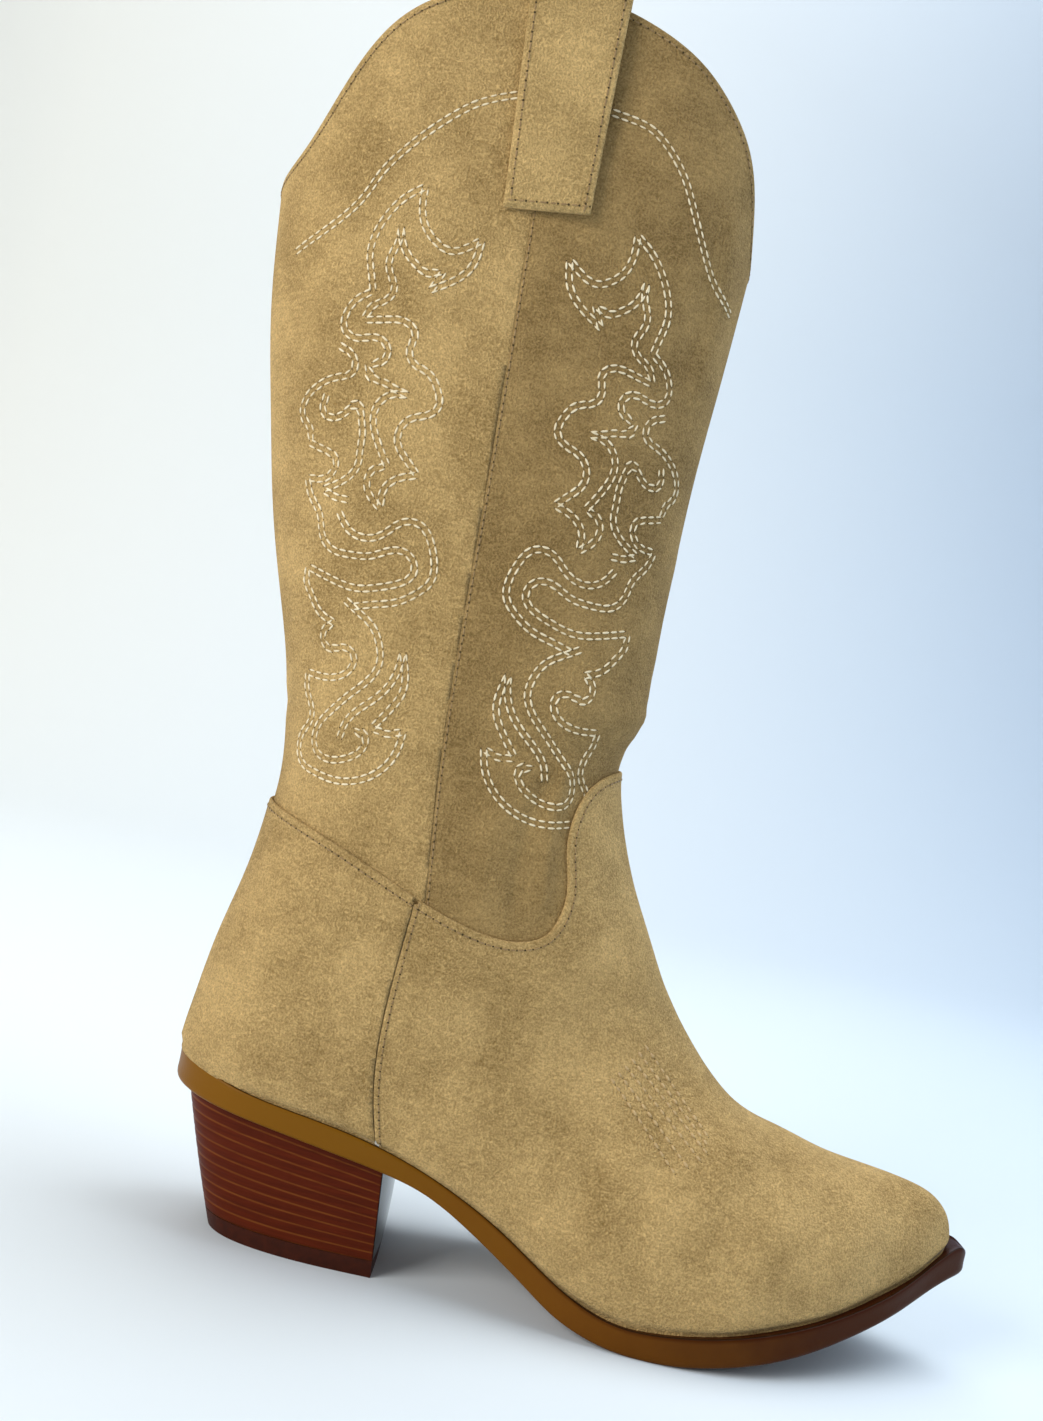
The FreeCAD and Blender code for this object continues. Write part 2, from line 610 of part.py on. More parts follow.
def strap_taper():
    """Side view outline of the strap: wider at the rim than at its foot."""
    foot_middle = size("strap_foot_along")
    top_middle = size("strap_top_along")
    foot_half = size("strap_foot_wide") / 2
    top_half = size("strap_top_wide") / 2
    top = loop_start + size("strap_top_cut")
    slant = size("strap_slant")
    share = (top - strap_foot) / (rim_height - strap_foot)
    end_middle = foot_middle + (top_middle - foot_middle) * share
    end_half = foot_half + (top_half - foot_half) * share
    corners = [
        V(foot_middle - foot_half, 0, strap_foot - slant),
        V(foot_middle + foot_half, 0, strap_foot + slant),
        V(end_middle + end_half, 0, top),
        V(end_middle - end_half, 0, top),
    ]
    return Part.makePolygon(corners + corners[:1]).Edges


taper = side_cutter("StrapTaper", strap_taper())
for name, side in (("pull_strap_lateral", -1), ("pull_strap_medial", 1)):
    profile = doc.addObject("Part::Feature", name + "_profile")
    profile.Shape = strap_profile(side)
    band = doc.addObject("Part::Extrusion", name + "_band")
    band.Base = profile
    band.Dir = V(-1, 0, 0)
    band.Solid = True
    band.setExpression("LengthFwd", "Sizes.cutter_high")
    keep(name, common(name, band, taper))

# ---------------------------------------------------------------- checks and files
doc.recompute()
for item in doc.Objects:
    if "Invalid" in item.State or "Error" in item.State:
        raise RuntimeError(f"{item.Label} failed: {item.State}")
for name, piece in nodes.items():
    if piece.Shape.isNull() or not piece.Shape.isValid() or not piece.Shape.Solids:
        raise RuntimeError(f"{name} has no sound solid")

os.makedirs("parts", exist_ok=True)
for name, piece in nodes.items():
    piece.Shape.exportStep(f"parts/{name}.step")
    box = piece.Shape.BoundBox
    sides = f"{box.XLength:6.1f} x {box.YLength:5.1f} x {box.ZLength:5.1f} mm"
    print(f"{name:22s} {len(piece.Shape.Solids)} solids {piece.Shape.Volume / 1000:8.2f} cm3, {sides}")
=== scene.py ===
import bpy
import bmesh
import math
import numpy as np
from mathutils import Matrix, Vector
from mathutils.bvhtree import BVHTree
from mathutils.kdtree import KDTree


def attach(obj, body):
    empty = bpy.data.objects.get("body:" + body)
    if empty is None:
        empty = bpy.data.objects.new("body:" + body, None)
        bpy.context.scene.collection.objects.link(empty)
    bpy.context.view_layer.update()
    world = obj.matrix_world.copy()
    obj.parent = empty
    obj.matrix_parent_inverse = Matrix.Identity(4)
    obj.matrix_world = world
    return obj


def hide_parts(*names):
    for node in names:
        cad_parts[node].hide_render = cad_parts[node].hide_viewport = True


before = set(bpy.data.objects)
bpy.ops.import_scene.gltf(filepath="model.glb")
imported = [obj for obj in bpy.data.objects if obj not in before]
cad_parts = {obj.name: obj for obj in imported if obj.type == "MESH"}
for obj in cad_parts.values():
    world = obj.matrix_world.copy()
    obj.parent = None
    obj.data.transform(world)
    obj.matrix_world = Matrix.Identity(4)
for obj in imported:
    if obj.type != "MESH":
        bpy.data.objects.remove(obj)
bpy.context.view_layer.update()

# ---------------------------------------------------------------- shape of the last
# The wooden-shoe form that the whole upper is pulled over: ovals that fan from the level shaft
# round the ankle to the upright toe. Every leather piece below takes its surface from it.
MM = 0.001
# Ridge point, base point, half width, sideways shift, share of the depth at which it is widest, roundness of
# the ridge side and of the base side.
STATIONS = [
    ((11.5, 430), (-165.5, 430), 46.5, 0.0, 0.50, 2.2, 2.2),
    ((10.2, 360), (-156.2, 360), 44.2, 0.0, 0.50, 2.2, 2.2),
    ((8.2, 318), (-150.4, 318), 42.8, 0.0, 0.50, 2.2, 2.2),
    ((6.6, 270), (-141.8, 270), 41.2, 0.0, 0.50, 2.2, 2.2),
    ((5.2, 225), (-129.6, 225), 39.7, 0.0, 0.50, 2.2, 2.2),
    ((6.0, 196), (-121.2, 196), 38.8, 0.0, 0.50, 2.2, 2.2),
    ((2.4, 182), (-117.6, 182), 38.3, 0.0, 0.50, 2.2, 2.2),
    ((1.9, 171), (-113.4, 160), 37.6, 0.0, 0.50, 2.2, 2.2),
    ((6.6, 154), (-113.4, 141), 37.4, 0.0, 0.50, 2.1, 2.2),
    ((12.6, 139), (-116.6, 119), 37.2, 0.0, 0.51, 2.0, 2.2),
    ((20.6, 125), (-121.6, 95), 36.8, 0.0, 0.52, 2.0, 2.3),
    ((28.6, 111.5), (-124.6, 70), 36.2, 0.0, 0.52, 2.0, 2.4),
    ((35.1, 101.5), (-123.4, 47), 35.6, 0.0, 0.52, 2.0, 2.6),
    ((40.6, 94), (-103.4, 38), 35.2, 0.0, 0.52, 2.0, 2.8),
    ((47.6, 86), (-78.4, 34), 34.8, -0.3, 0.53, 2.0, 3.0),
    ((54.6, 79.5), (-48.4, 29), 35.0, -1.0, 0.55, 2.0, 3.0),
    ((61.6, 74.5), (-20.4, 19), 36.4, -2.2, 0.58, 2.0, 3.0),
    ((69.6, 70.8), (5.6, 5), 39.2, -2.8, 0.62, 2.0, 3.0),
    ((77.6, 68.4), (31.6, -6), 41.2, -1.5, 0.66, 2.0, 3.0),
    ((86.6, 66), (55.6, -6), 41.3, -0.4, 0.69, 2.0, 3.0),
    ((96.6, 63.6), (79.6, -1), 37.0, 0.6, 0.70, 2.0, 3.0),
    ((107.6, 61.8), (99.6, 6), 30.3, 1.4, 0.70, 2.1, 3.0),
    ((118.6, 60.4), (115.6, 13), 23.0, 2.2, 0.70, 2.2, 3.0),
    ((129.6, 58.6), (129.0, 19), 16.4, 3.0, 0.68, 2.2, 3.0),
    ((137.0, 55.8), (137.0, 24), 11.2, 3.5, 0.65, 2.2, 2.8),
    ((142.0, 51.0), (142.0, 32), 7.2, 3.8, 0.60, 2.1, 2.4),
    ((144.0, 45.5), (144.0, 38.5), 3.6, 4.0, 0.50, 2.0, 2.0),
]
OVAL_POINTS = 24
TOE_FADE_HALF = 25.0
KEEP_SHARE = 2.0 / 3.0
UPPER_THICK = 1.4


def through(knots, values, at, closed=False):
    """The smooth curve through values given at knots, read off at other places."""
    knots = np.asarray(knots, float)
    values = np.asarray(values, float)
    step = np.diff(knots)
    count = len(knots)
    slope = np.diff(values, axis=0) / step.reshape(-1, *([1] * (values.ndim - 1)))
    system = np.zeros((count, count))
    right = np.zeros_like(values)
    for i in range(1, count - 1):
        system[i, i - 1:i + 2] = step[i - 1], 2 * (step[i - 1] + step[i]), step[i]
        right[i] = 6 * (slope[i] - slope[i - 1])
    if closed:
        system[0, 0], system[0, 1] = 2 * (step[0] + step[-1]), step[0]
        system[0, -2] = step[-1]
        right[0] = 6 * (slope[0] - slope[-1])
        system[-1, 0], system[-1, -1] = 1, -1
    else:
        system[0, 0] = system[-1, -1] = 1
    bend = np.linalg.solve(system, right.reshape(count, -1)).reshape(values.shape)
    place = np.clip(np.searchsorted(knots, at, side="right") - 1, 0, count - 2)
    shape = (-1,) + (1,) * (values.ndim - 1)
    h = step[place].reshape(shape)
    a = (knots[place + 1] - at).reshape(shape) / h
    b = (at - knots[place]).reshape(shape) / h
    return (a * values[place] + b * values[place + 1]
            + ((a ** 3 - a) * bend[place] + (b ** 3 - b) * bend[place + 1]) * h ** 2 / 6)


def signed_power(value, power):
    return math.copysign(abs(value) ** power, value)


def oval(station, inset, count):
    """One closed oval of the last, drawn smaller by inset, as count points around."""
    ridge, base, half, shift, widest, ridge_power, base_power = station
    pull = inset * max(0.0, 1.0 - half / TOE_FADE_HALF)
    ridge = np.array((ridge[0] - pull, 0, ridge[1]))
    base = np.array((base[0] - pull, 0, base[1]))
    length = np.linalg.norm(base - ridge)
    along = (base - ridge) / length
    inner_length = max(length - 2 * inset, length * KEEP_SHARE)
    inner_half = max(half - inset, half * KEEP_SHARE)
    start = ridge + along * ((length - inner_length) / 2)
    ridge_side = inner_length * widest
    points = []
    for step in range(OVAL_POINTS + 1):
        turn = 2 * math.pi * step / OVAL_POINTS
        upper = math.cos(turn) > 0
        power = ridge_power if upper else base_power
        reach = ridge_side if upper else inner_length - ridge_side
        travel = ridge_side - reach * signed_power(math.cos(turn), 2 / power)
        side = shift - inner_half * signed_power(math.sin(turn), 2 / power)
        points.append(start + along * travel + (0, side, 0))
    points[-1] = points[0]
    places = np.linspace(0, OVAL_POINTS, count + 1)[:-1]
    return through(np.arange(OVAL_POINTS + 1), points, places, closed=True)


def last_grid(inset, rows_apart, count):
    """Rows of points down the last, about rows_apart mm from each other, count points in each."""
    ovals = np.array([oval(station, inset, count) for station in STATIONS])
    gaps = np.linalg.norm(np.diff(ovals, axis=0), axis=2).mean(axis=1)
    places = [np.linspace(k, k + 1, max(2, round(gap / rows_apart)), endpoint=False)
              for k, gap in enumerate(gaps)]
    places = np.append(np.concatenate(places), len(STATIONS) - 1)
    return through(np.arange(len(STATIONS)), ovals, places)


def grid_faces(rows, count):
    here = np.arange(count)
    after = (here + 1) % count
    quads = []
    for row in range(rows - 1):
        above, below = row * count, (row + 1) * count
        quads.append(np.stack([above + here, below + here, below + after, above + after], 1))
    return np.concatenate(quads)


def skin_of_last(inset):
    """A search tree of the last's surface, for laying seams and threads on it."""
    points = last_grid(inset, 2.0, 240)
    quads = grid_faces(len(points), 240)
    return BVHTree.FromPolygons(points.reshape(-1, 3).tolist(), quads[:, ::-1].tolist())


outer_skin = skin_of_last(0.0)
shaft_skin = skin_of_last(UPPER_THICK)


# ---------------------------------------------------------------- suede, shared by every outside piece
# Tan split leather brushed to a short nap: a fine sandy speckle and soft patches where the nap lies
# the other way.
def node(tree, kind, **values):
    made = tree.nodes.new(kind)
    for key, value in values.items():
        if key.startswith("_"):
            made.inputs[int(key[1:])].default_value = value
        else:
            setattr(made, key, value)
    return made


def new_group(name, inputs, outputs):
    group = bpy.data.node_groups.new(name, "ShaderNodeTree")
    for label, kind, value in inputs:
        socket = group.interface.new_socket(label, in_out="INPUT", socket_type=kind)
        socket.default_value = value
    for label, kind in outputs:
        group.interface.new_socket(label, in_out="OUTPUT", socket_type=kind)
    return group, group.nodes.new("NodeGroupInput").outputs, group.nodes.new("NodeGroupOutput").inputs


def nap_group():
    """Nap: colour that drifts between a light and a dark tan, with the height of its pile."""
    group, given, out = new_group(
        "Brushed nap",
        [("Light", "NodeSocketColor", (0.5, 0.36, 0.17, 1)),
         ("Dark", "NodeSocketColor", (0.36, 0.25, 0.1, 1)),
         ("Speckle", "NodeSocketFloat", 1100.0), ("Patches", "NodeSocketFloat", 55.0)],
        [("Color", "NodeSocketColor"), ("Height", "NodeSocketFloat")])
    link = group.links.new
    where = node(group, "ShaderNodeTexCoord")
    speck = node(group, "ShaderNodeTexNoise", _3=3.0, _4=0.65)
    patch = node(group, "ShaderNodeTexNoise", _3=4.0, _4=0.6)
    stroke = node(group, "ShaderNodeTexNoise", _3=3.0, _4=0.55)
    squeeze = node(group, "ShaderNodeMapping", _3=(1.0, 1.0, 2.6))
    link(where.outputs["Object"], squeeze.inputs[0])
    link(where.outputs["Object"], speck.inputs["Vector"])
    link(where.outputs["Object"], patch.inputs["Vector"])
    link(squeeze.outputs[0], stroke.inputs["Vector"])
    link(given["Speckle"], speck.inputs["Scale"])
    link(given["Patches"], patch.inputs["Scale"])
    stroke.inputs["Scale"].default_value = 330.0
    speck_range = node(group, "ShaderNodeMapRange", _1=0.36, _2=0.64)
    patch_range = node(group, "ShaderNodeMapRange", _1=0.36, _2=0.64)
    stroke_range = node(group, "ShaderNodeMapRange", _1=0.34, _2=0.66)
    link(speck.outputs[0], speck_range.inputs[0])
    link(patch.outputs[0], patch_range.inputs[0])
    link(stroke.outputs[0], stroke_range.inputs[0])
    half_speck = node(group, "ShaderNodeMath", operation="MULTIPLY", _1=0.5)
    half_patch = node(group, "ShaderNodeMath", operation="MULTIPLY_ADD", _1=0.32)
    half_stroke = node(group, "ShaderNodeMath", operation="MULTIPLY_ADD", _1=0.18)
    link(speck_range.outputs[0], half_speck.inputs[0])
    link(patch_range.outputs[0], half_patch.inputs[0])
    link(half_speck.outputs[0], half_patch.inputs[2])
    link(stroke_range.outputs[0], half_stroke.inputs[0])
    link(half_patch.outputs[0], half_stroke.inputs[2])
    blend = node(group, "ShaderNodeMix", data_type="RGBA")
    link(half_stroke.outputs[0], blend.inputs[0])
    link(given["Dark"], blend.inputs[6])
    link(given["Light"], blend.inputs[7])
    link(blend.outputs[2], out["Color"])
    pile = node(group, "ShaderNodeMath", operation="MULTIPLY_ADD", _1=0.6)
    link(speck_range.outputs[0], pile.inputs[0])
    link(half_stroke.outputs[0], pile.inputs[2])
    link(pile.outputs[0], out["Height"])
    return group


nap = nap_group()


def surface(name, roughness, sheen=0.0, sheen_tint=(1, 1, 1, 1), specular=0.5):
    """A new material with its shader and output, ready for its colour and bump."""
    made = bpy.data.materials.new(name)
    made.use_nodes = True
    shader = made.node_tree.nodes["Principled BSDF"]
    shader.inputs["Roughness"].default_value = roughness
    shader.inputs["Sheen Weight"].default_value = sheen
    shader.inputs["Sheen Tint"].default_value = sheen_tint
    shader.inputs["Specular IOR Level"].default_value = specular
    return made, made.node_tree, shader


def suede(name, light, dark, speckle=1100.0, patches=55.0, relief=0.0004):
    made, tree, shader = surface(name, 0.95, 0.12, (1.0, 0.86, 0.62, 1), 0.1)
    pile = node(tree, "ShaderNodeGroup", node_tree=nap)
    pile.inputs["Light"].default_value = light
    pile.inputs["Dark"].default_value = dark
    pile.inputs["Speckle"].default_value = speckle
    pile.inputs["Patches"].default_value = patches
    bump = node(tree, "ShaderNodeBump")
    bump.inputs["Strength"].default_value = 0.9
    bump.inputs["Distance"].default_value = relief
    tree.links.new(pile.outputs["Color"], shader.inputs["Base Color"])
    tree.links.new(pile.outputs["Height"], bump.inputs["Height"])
    tree.links.new(bump.outputs[0], shader.inputs["Normal"])
    return made


tan_suede = suede("tan_suede", (0.80, 0.54, 0.225, 1), (0.245, 0.148, 0.044, 1), 1500.0, 42.0)
# The front panel's copy is darker partly because its nap lies the other way. The rest is painted shade where
# the front faces away from the key light.
front_suede_nap_and_shade = suede("tan_suede_front_nap_and_shade", (0.56, 0.37, 0.145, 1), (0.17, 0.1, 0.03, 1), 1500.0, 48.0)


# ---------------------------------------------------------------- shaft panels
# Front and back panels of the leg, cut with a deep scallop at the rim and joined down each side.
# Their lower edges are tucked under the vamp and the counter cover.
RIM = [
    (-185, 342), (-155, 343), (-146, 349), (-134.6, 367), (-119, 392.5), (-95, 405.5), (-68, 409.5),
    (-40, 406.2), (-17.9, 397), (-2, 381), (5, 363), (8.5, 349), (14, 337), (40, 320),
]
SIDE_SEAM = [(-69, 440), (-65.2, 339), (-61.2, 244), (-57.2, 159), (-53.4, 123), (-50, 90)]
TUCK = [(-150, 143), (-112, 132), (-56, 113), (-25, 105), (5, 108), (50, 120)]
GRID_APART = 1.7
GRID_AROUND = 260
EDGE_LAP = 1.2


def side_line(points, spacing=1.0):
    """A side-view curve as closely spaced points."""
    points = np.array(points, float)
    run = np.append(0, np.cumsum(np.linalg.norm(np.diff(points, axis=0), axis=1)))
    return through(run, points, np.linspace(0, run[-1], int(run[-1] / spacing)))


def beside(line, x, z):
    """Distance in side view from a line: positive on the left of its direction of travel."""
    starts = line[:-1]
    runs = np.diff(line, axis=0)
    lengths = (runs ** 2).sum(1)
    result = np.empty(len(x))
    for lot in range(0, len(x), 8000):
        part = slice(lot, lot + 8000)
        away = np.stack([x[part], z[part]], 1)[:, None, :] - starts[None]
        share = np.clip((away * runs).sum(2) / lengths, 0, 1)
        gap = away - share[..., None] * runs
        far = (gap ** 2).sum(2)
        best = far.argmin(1)
        pick = np.arange(len(best))
        cross = runs[best, 0] * away[pick, best, 1] - runs[best, 1] * away[pick, best, 0]
        result[part] = np.sqrt(far[pick, best]) * np.where(cross >= 0, 1, -1)
    return result


def trim(points, faces, keep):
    """Keeps the part of a mesh where keep is positive and cuts the faces that straddle its edge."""
    points = [tuple(p) for p in points]
    inside = keep > 0
    kept, made, border = [], {}, []
    for face in faces:
        flags = [inside[v] for v in face]
        if all(flags):
            kept.append(list(face))
            continue
        if not any(flags):
            continue
        ring, cuts = [], []
        for k, v in enumerate(face):
            w = face[(k + 1) % len(face)]
            if inside[v]:
                ring.append(v)
            if inside[v] != inside[w]:
                key = (min(v, w), max(v, w))
                if key not in made:
                    share = keep[v] / (keep[v] - keep[w])
                    made[key] = len(points)
                    points.append(tuple(a + (b - a) * share for a, b in zip(points[v], points[w])))
                ring.append(made[key])
                cuts.append(made[key])
        kept.append(ring)
        if len(cuts) == 2:
            border.append(tuple(cuts))
    used = sorted({v for face in kept for v in face})
    renumber = {v: k for k, v in enumerate(used)}
    faces = [[renumber[v] for v in face] for face in kept]
    border = [(renumber[a], renumber[b]) for a, b in border]
    return np.array([points[v] for v in used]), faces, border


def chain(border, points):
    """The longest run of linked edges, as an ordered line of points."""
    links = {}
    for a, b in border:
        links.setdefault(a, []).append(b)
        links.setdefault(b, []).append(a)
    runs = []
    left = set(links)
    while left:
        ends = [v for v in left if len(links[v]) == 1]
        at = min(ends) if ends else min(left)
        run = [at]
        left.discard(at)
        while True:
            ahead = [v for v in links[at] if v in left]
            if not ahead:
                break
            at = ahead[0]
            left.discard(at)
            run.append(at)
        if not ends and len(run) > 2:
            run.append(run[0])
        runs.append(run)
    longest = max(runs, key=len)
    return points[longest]


def evened(line, spacing, ease=2):
    """A line of points re-spaced evenly and eased, so that a fold or a seam along it is smooth."""
    closed = np.allclose(line[0], line[-1])
    for _ in range(ease):
        middle = (line[:-2] + 2 * line[1:-1] + line[2:]) / 4
        first, last = line[0], line[-1]
        if closed:
            first = last = (line[-2] + 2 * line[0] + line[1]) / 4
        line = np.concatenate([[first], middle, [last]])
    run = np.append(0, np.cumsum(np.linalg.norm(np.diff(line, axis=0), axis=1)))
    at = np.linspace(0, run[-1], max(3, int(run[-1] / spacing)))
    return np.stack([np.interp(at, run, line[:, k]) for k in range(3)], 1)


def laid(line, skin, out=0.0):
    """Points laid on the last's skin with the outward direction at each."""
    spots, ups = [], []
    for point in line:
        spot, up, _, _ = skin.find_nearest(Vector(point))
        ups.append(up)
        spots.append(spot + up * out)
    return np.array(spots), np.array(ups)


def inward(line, ups, towards):
    """Unit directions lying in the surface, square to the line, pointing to the given side of it."""
    tangent = np.gradient(line, axis=0)
    tangent /= np.linalg.norm(tangent, axis=1)[:, None] + 1e-12
    across = np.cross(ups, tangent)
    across /= np.linalg.norm(across, axis=1)[:, None] + 1e-12
    return across * towards


def mesh_object(name, points, faces, material, smooth=True):
    """A mesh object given in mm, standing in metres at the origin."""
    data = bpy.data.meshes.new(name)
    data.from_pydata((np.asarray(points) * MM).tolist(), [], [list(map(int, face)) for face in faces])
    data.materials.append(material)
    data.update()
    made = bpy.data.objects.new(name, data)
    bpy.context.collection.objects.link(made)
    if smooth:
        data.polygons.foreach_set("use_smooth", [True] * len(data.polygons))
    return made


def tube(rings, closed):
    """Points and faces of a closed skin through rings of equal size, capped unless it runs round."""
    rings = np.asarray(rings)
    count, size = rings.shape[:2]
    faces = []
    for r in range(count - (0 if closed else 1)):
        for k in range(size):
            a, b = r * size + k, r * size + (k + 1) % size
            c, d = ((r + 1) % count) * size + (k + 1) % size, ((r + 1) % count) * size + k
            faces.append((a, b, c, d))
    if not closed:
        faces.append(tuple(range(size))[::-1])
        faces.append(tuple((count - 1) * size + k for k in range(size)))
    return rings.reshape(-1, 3), faces


# Section of a folded edge: how far in from the fold, and how far above the skin.
FOLD = [(6.0, -0.55), (4.2, -0.13), (3.1, -0.035), (2.2, 0.012), (1.2, 0.02), (0.75, 0.0), (0.45, -0.1),
        (0.2, -0.3), (0.04, -0.6), (0.04, -0.95), (0.3, -1.25), (0.9, -1.35), (5.0, -1.35)]


def folded_edge(name, line, skin, towards, material, creases, lift=0.0, spacing=1.0, shape=FOLD):
    """The turned-in edge of a piece: a rounded lip that follows the line on the last's skin."""
    closed = np.allclose(line[0], line[-1], atol=0.5)
    line = evened(line, spacing)
    spots, ups = laid(line, skin)
    across = inward(spots, ups, towards)
    if closed:
        across[0] = across[-1] = (across[1] + across[-2]) / 2
        spots, ups, across = spots[:-1], ups[:-1], across[:-1]
    rings = []
    for away, height in shape:
        flat = np.array([skin.find_nearest(Vector(p))[0] for p in spots + across * away])
        rings.append(flat + ups * (height + lift + pucker_height(flat, creases))[:, None])
    points, faces = tube(np.stack(rings, 1), closed)
    made = mesh_object(name, points, faces, material)
    outwards(made)
    return made


def outwards(made):
    mesh = bmesh.new()
    mesh.from_mesh(made.data)
    bmesh.ops.recalc_face_normals(mesh, faces=mesh.faces)
    mesh.to_mesh(made.data)
    mesh.free()


def finish_modifiers(made):
    """Puts a piece's modifiers into its mesh."""
    graph = bpy.context.evaluated_depsgraph_get()
    data = bpy.data.meshes.new_from_object(made.evaluated_get(graph))
    made.modifiers.clear()
    old = made.data
    made.data = data
    bpy.data.meshes.remove(old)


def joined(name, pieces):
    """Several meshes as one object."""
    mesh = bmesh.new()
    for piece in pieces:
        mesh.from_mesh(piece.data)
    data = bpy.data.meshes.new(name)
    mesh.to_mesh(data)
    mesh.free()
    for material in pieces[0].data.materials:
        data.materials.append(material)
    for piece in pieces:
        bpy.data.objects.remove(piece)
    made = bpy.data.objects.new(name, data)
    bpy.context.collection.objects.link(made)
    return made


def pucker_height(points, creases):
    """How far soft creases and the slow drift of the hide lift the surface at each point."""
    x, y, z = points.T
    drift = (0.30 * np.sin(x / 17 + z / 29 + 1.1) + 0.26 * np.sin(z / 13 - y / 11 + 2.4)
             + 0.16 * np.sin(x / 7.5 - z / 19 + y / 6 + 0.6))
    for path, side, depth, width in creases:
        line = side_line(path, 1.5)
        gap = np.abs(beside(line, x, z))
        on_side = np.where(np.sign(y) == side, 1.0, 0.0) if side else 1.0
        ends = np.clip((z - line[:, 1].min() + width) / (2 * width), 0, 1)
        ends = ends * np.clip((line[:, 1].max() + width - z) / (2 * width), 0, 1)
        drift = drift + depth * np.exp(-(gap / width) ** 2) * on_side * ends
    return drift


def true_lap(points, keep, lap, edge):
    """How far points lie inside an edge measured over the surface, less the lap."""
    edge = evened(edge, 0.3)
    tree = KDTree(len(edge))
    for number, spot in enumerate(edge):
        tree.insert(spot, number)
    tree.balance()
    near = np.flatnonzero(np.abs(keep) < 9)
    keep = keep.copy()
    for k in near:
        keep[k] = math.copysign(tree.find(points[k])[2], keep[k])
    return keep - lap


def upper_piece(name, inset, trims, creases, material, thick=UPPER_THICK):
    """A piece of the upper cut from the last's skin by side-view lines and given its thickness."""
    points = last_grid(inset, GRID_APART, GRID_AROUND)
    faces = grid_faces(len(points), GRID_AROUND)
    points = points.reshape(-1, 3)
    for line, towards, lap in trims:
        keep = beside(line, points[:, 0], points[:, 2]) * towards
        keep = keep - lap if lap <= 0 else true_lap(points, keep, lap, line_on(inset, line))
        points, faces, _ = trim(points, faces, keep)
    data = mesh_object(name, points, faces, material)
    outwards(data)
    ups = np.zeros(len(points) * 3)
    data.data.vertices.foreach_get("normal", ups)
    ups = ups.reshape(-1, 3)
    middle = points - points.mean(axis=0)
    if (ups * middle).sum() < 0:
        ups = -ups
        data.data.flip_normals()
    moved = points + ups * pucker_height(points, creases)[:, None]
    data.data.vertices.foreach_set("co", (moved * MM).ravel())
    wall = data.modifiers.new("wall", "SOLIDIFY")
    wall.thickness = thick * MM
    wall.offset = -1
    finish_modifiers(data)
    return data


def line_on(inset, line):
    """Where a side-view line runs round the last, as points in space."""
    points = last_grid(inset, GRID_APART, GRID_AROUND)
    faces = grid_faces(len(points), GRID_AROUND)
    points = points.reshape(-1, 3)
    cut, _, border = trim(points, faces, beside(line, points[:, 0], points[:, 2]))
    return chain(border, cut)


rim_line = side_line(RIM)
side_seam_line = side_line(SIDE_SEAM)
tuck_line = side_line(TUCK)
SHAFT_CREASES = [
    ([(2, 186), (-14, 179), (-27, 182)], 0, -0.7, 3.0),
    ([(4, 196), (-10, 191), (-22, 194)], 0, 1.3, 3.6),
    ([(0, 208), (-16, 203), (-30, 209)], 0, -0.5, 5.0),
    ([(-2, 360), (0, 335), (-2, 300)], 0, 1.1, 4.0),
    ([(-112, 200), (-100, 190), (-88, 192)], 0, -0.5, 4.5),
    ([(-116, 178), (-102, 172), (-90, 175)], 0, -0.6, 4.0),
    ([(-24, 168), (-27, 148), (-25, 124)], 0, -0.75, 2.6),
    ([(-18, 176), (-19, 155), (-17, 128)], 0, 1.2, 2.8),
    ([(-36, 160), (-38, 140), (-36, 122)], 0, 0.5, 3.5),
    ([(0, 250), (-4, 232), (-2, 215)], 0, 0.6, 5.0),
    (SIDE_SEAM, 0, -0.4, 0.7),
]
back_panel = upper_piece(
    "shaft_back_suede", UPPER_THICK,
    [(rim_line, -1, EDGE_LAP), (tuck_line, 1, 0.0), (side_seam_line, -1, 0.0)], SHAFT_CREASES, tan_suede)
front_panel = upper_piece(
    "shaft_front_suede", UPPER_THICK,
    [(rim_line, -1, EDGE_LAP), (tuck_line, 1, 0.0), (side_seam_line, 1, 0.0)], SHAFT_CREASES, front_suede_nap_and_shade)


def line_pieces(line, side_of):
    """The parts of a line round the boot that lie ahead of a side-view line and behind it."""
    at = beside(side_of, line[:, 0], line[:, 2])
    closed = np.allclose(line[0], line[-1], atol=0.5)
    if closed:
        first = int(np.argmax((at[:-1] <= 0) & (at[1:] > 0)))
        line = np.concatenate([line[first + 1:-1], line[:first + 1]])
        at = np.concatenate([at[first + 1:-1], at[:first + 1]])
    return line[at > 0], line[at <= 0]


def both_sides(line, skin):
    """A side-view line laid on the outer side and on the inner side of the last."""
    found = []
    for side in (-1, 1):
        spots = []
        for x, z in line:
            spot = skin.ray_cast(Vector((x, side * 80.0, z)), Vector((0, -side, 0)))[0]
            if spot:
                spots.append(tuple(spot))
        found.append(np.array(spots))
    return found


rim_round = line_on(UPPER_THICK, rim_line)
rim_front, rim_back = line_pieces(rim_round, side_seam_line)
seam_middle = side_seam_line[(side_seam_line[:, 1] > 112) & (side_seam_line[:, 1] < 408.6)]


def facing(line, skin, inside):
    """Which way along the surface a piece lies from its edge: 1 or -1."""
    spots, ups = laid(line, skin)
    middle = len(line) // 2
    across = inward(spots, ups, 1)[middle]
    return 1 if np.dot(across, np.asarray(inside) - spots[middle]) > 0 else -1


def turned_edge(name, line, skin, inside, material, creases):
    """A folded edge whose piece lies towards the point called inside."""
    return folded_edge(name, line, skin, facing(line, skin, inside), material, creases)


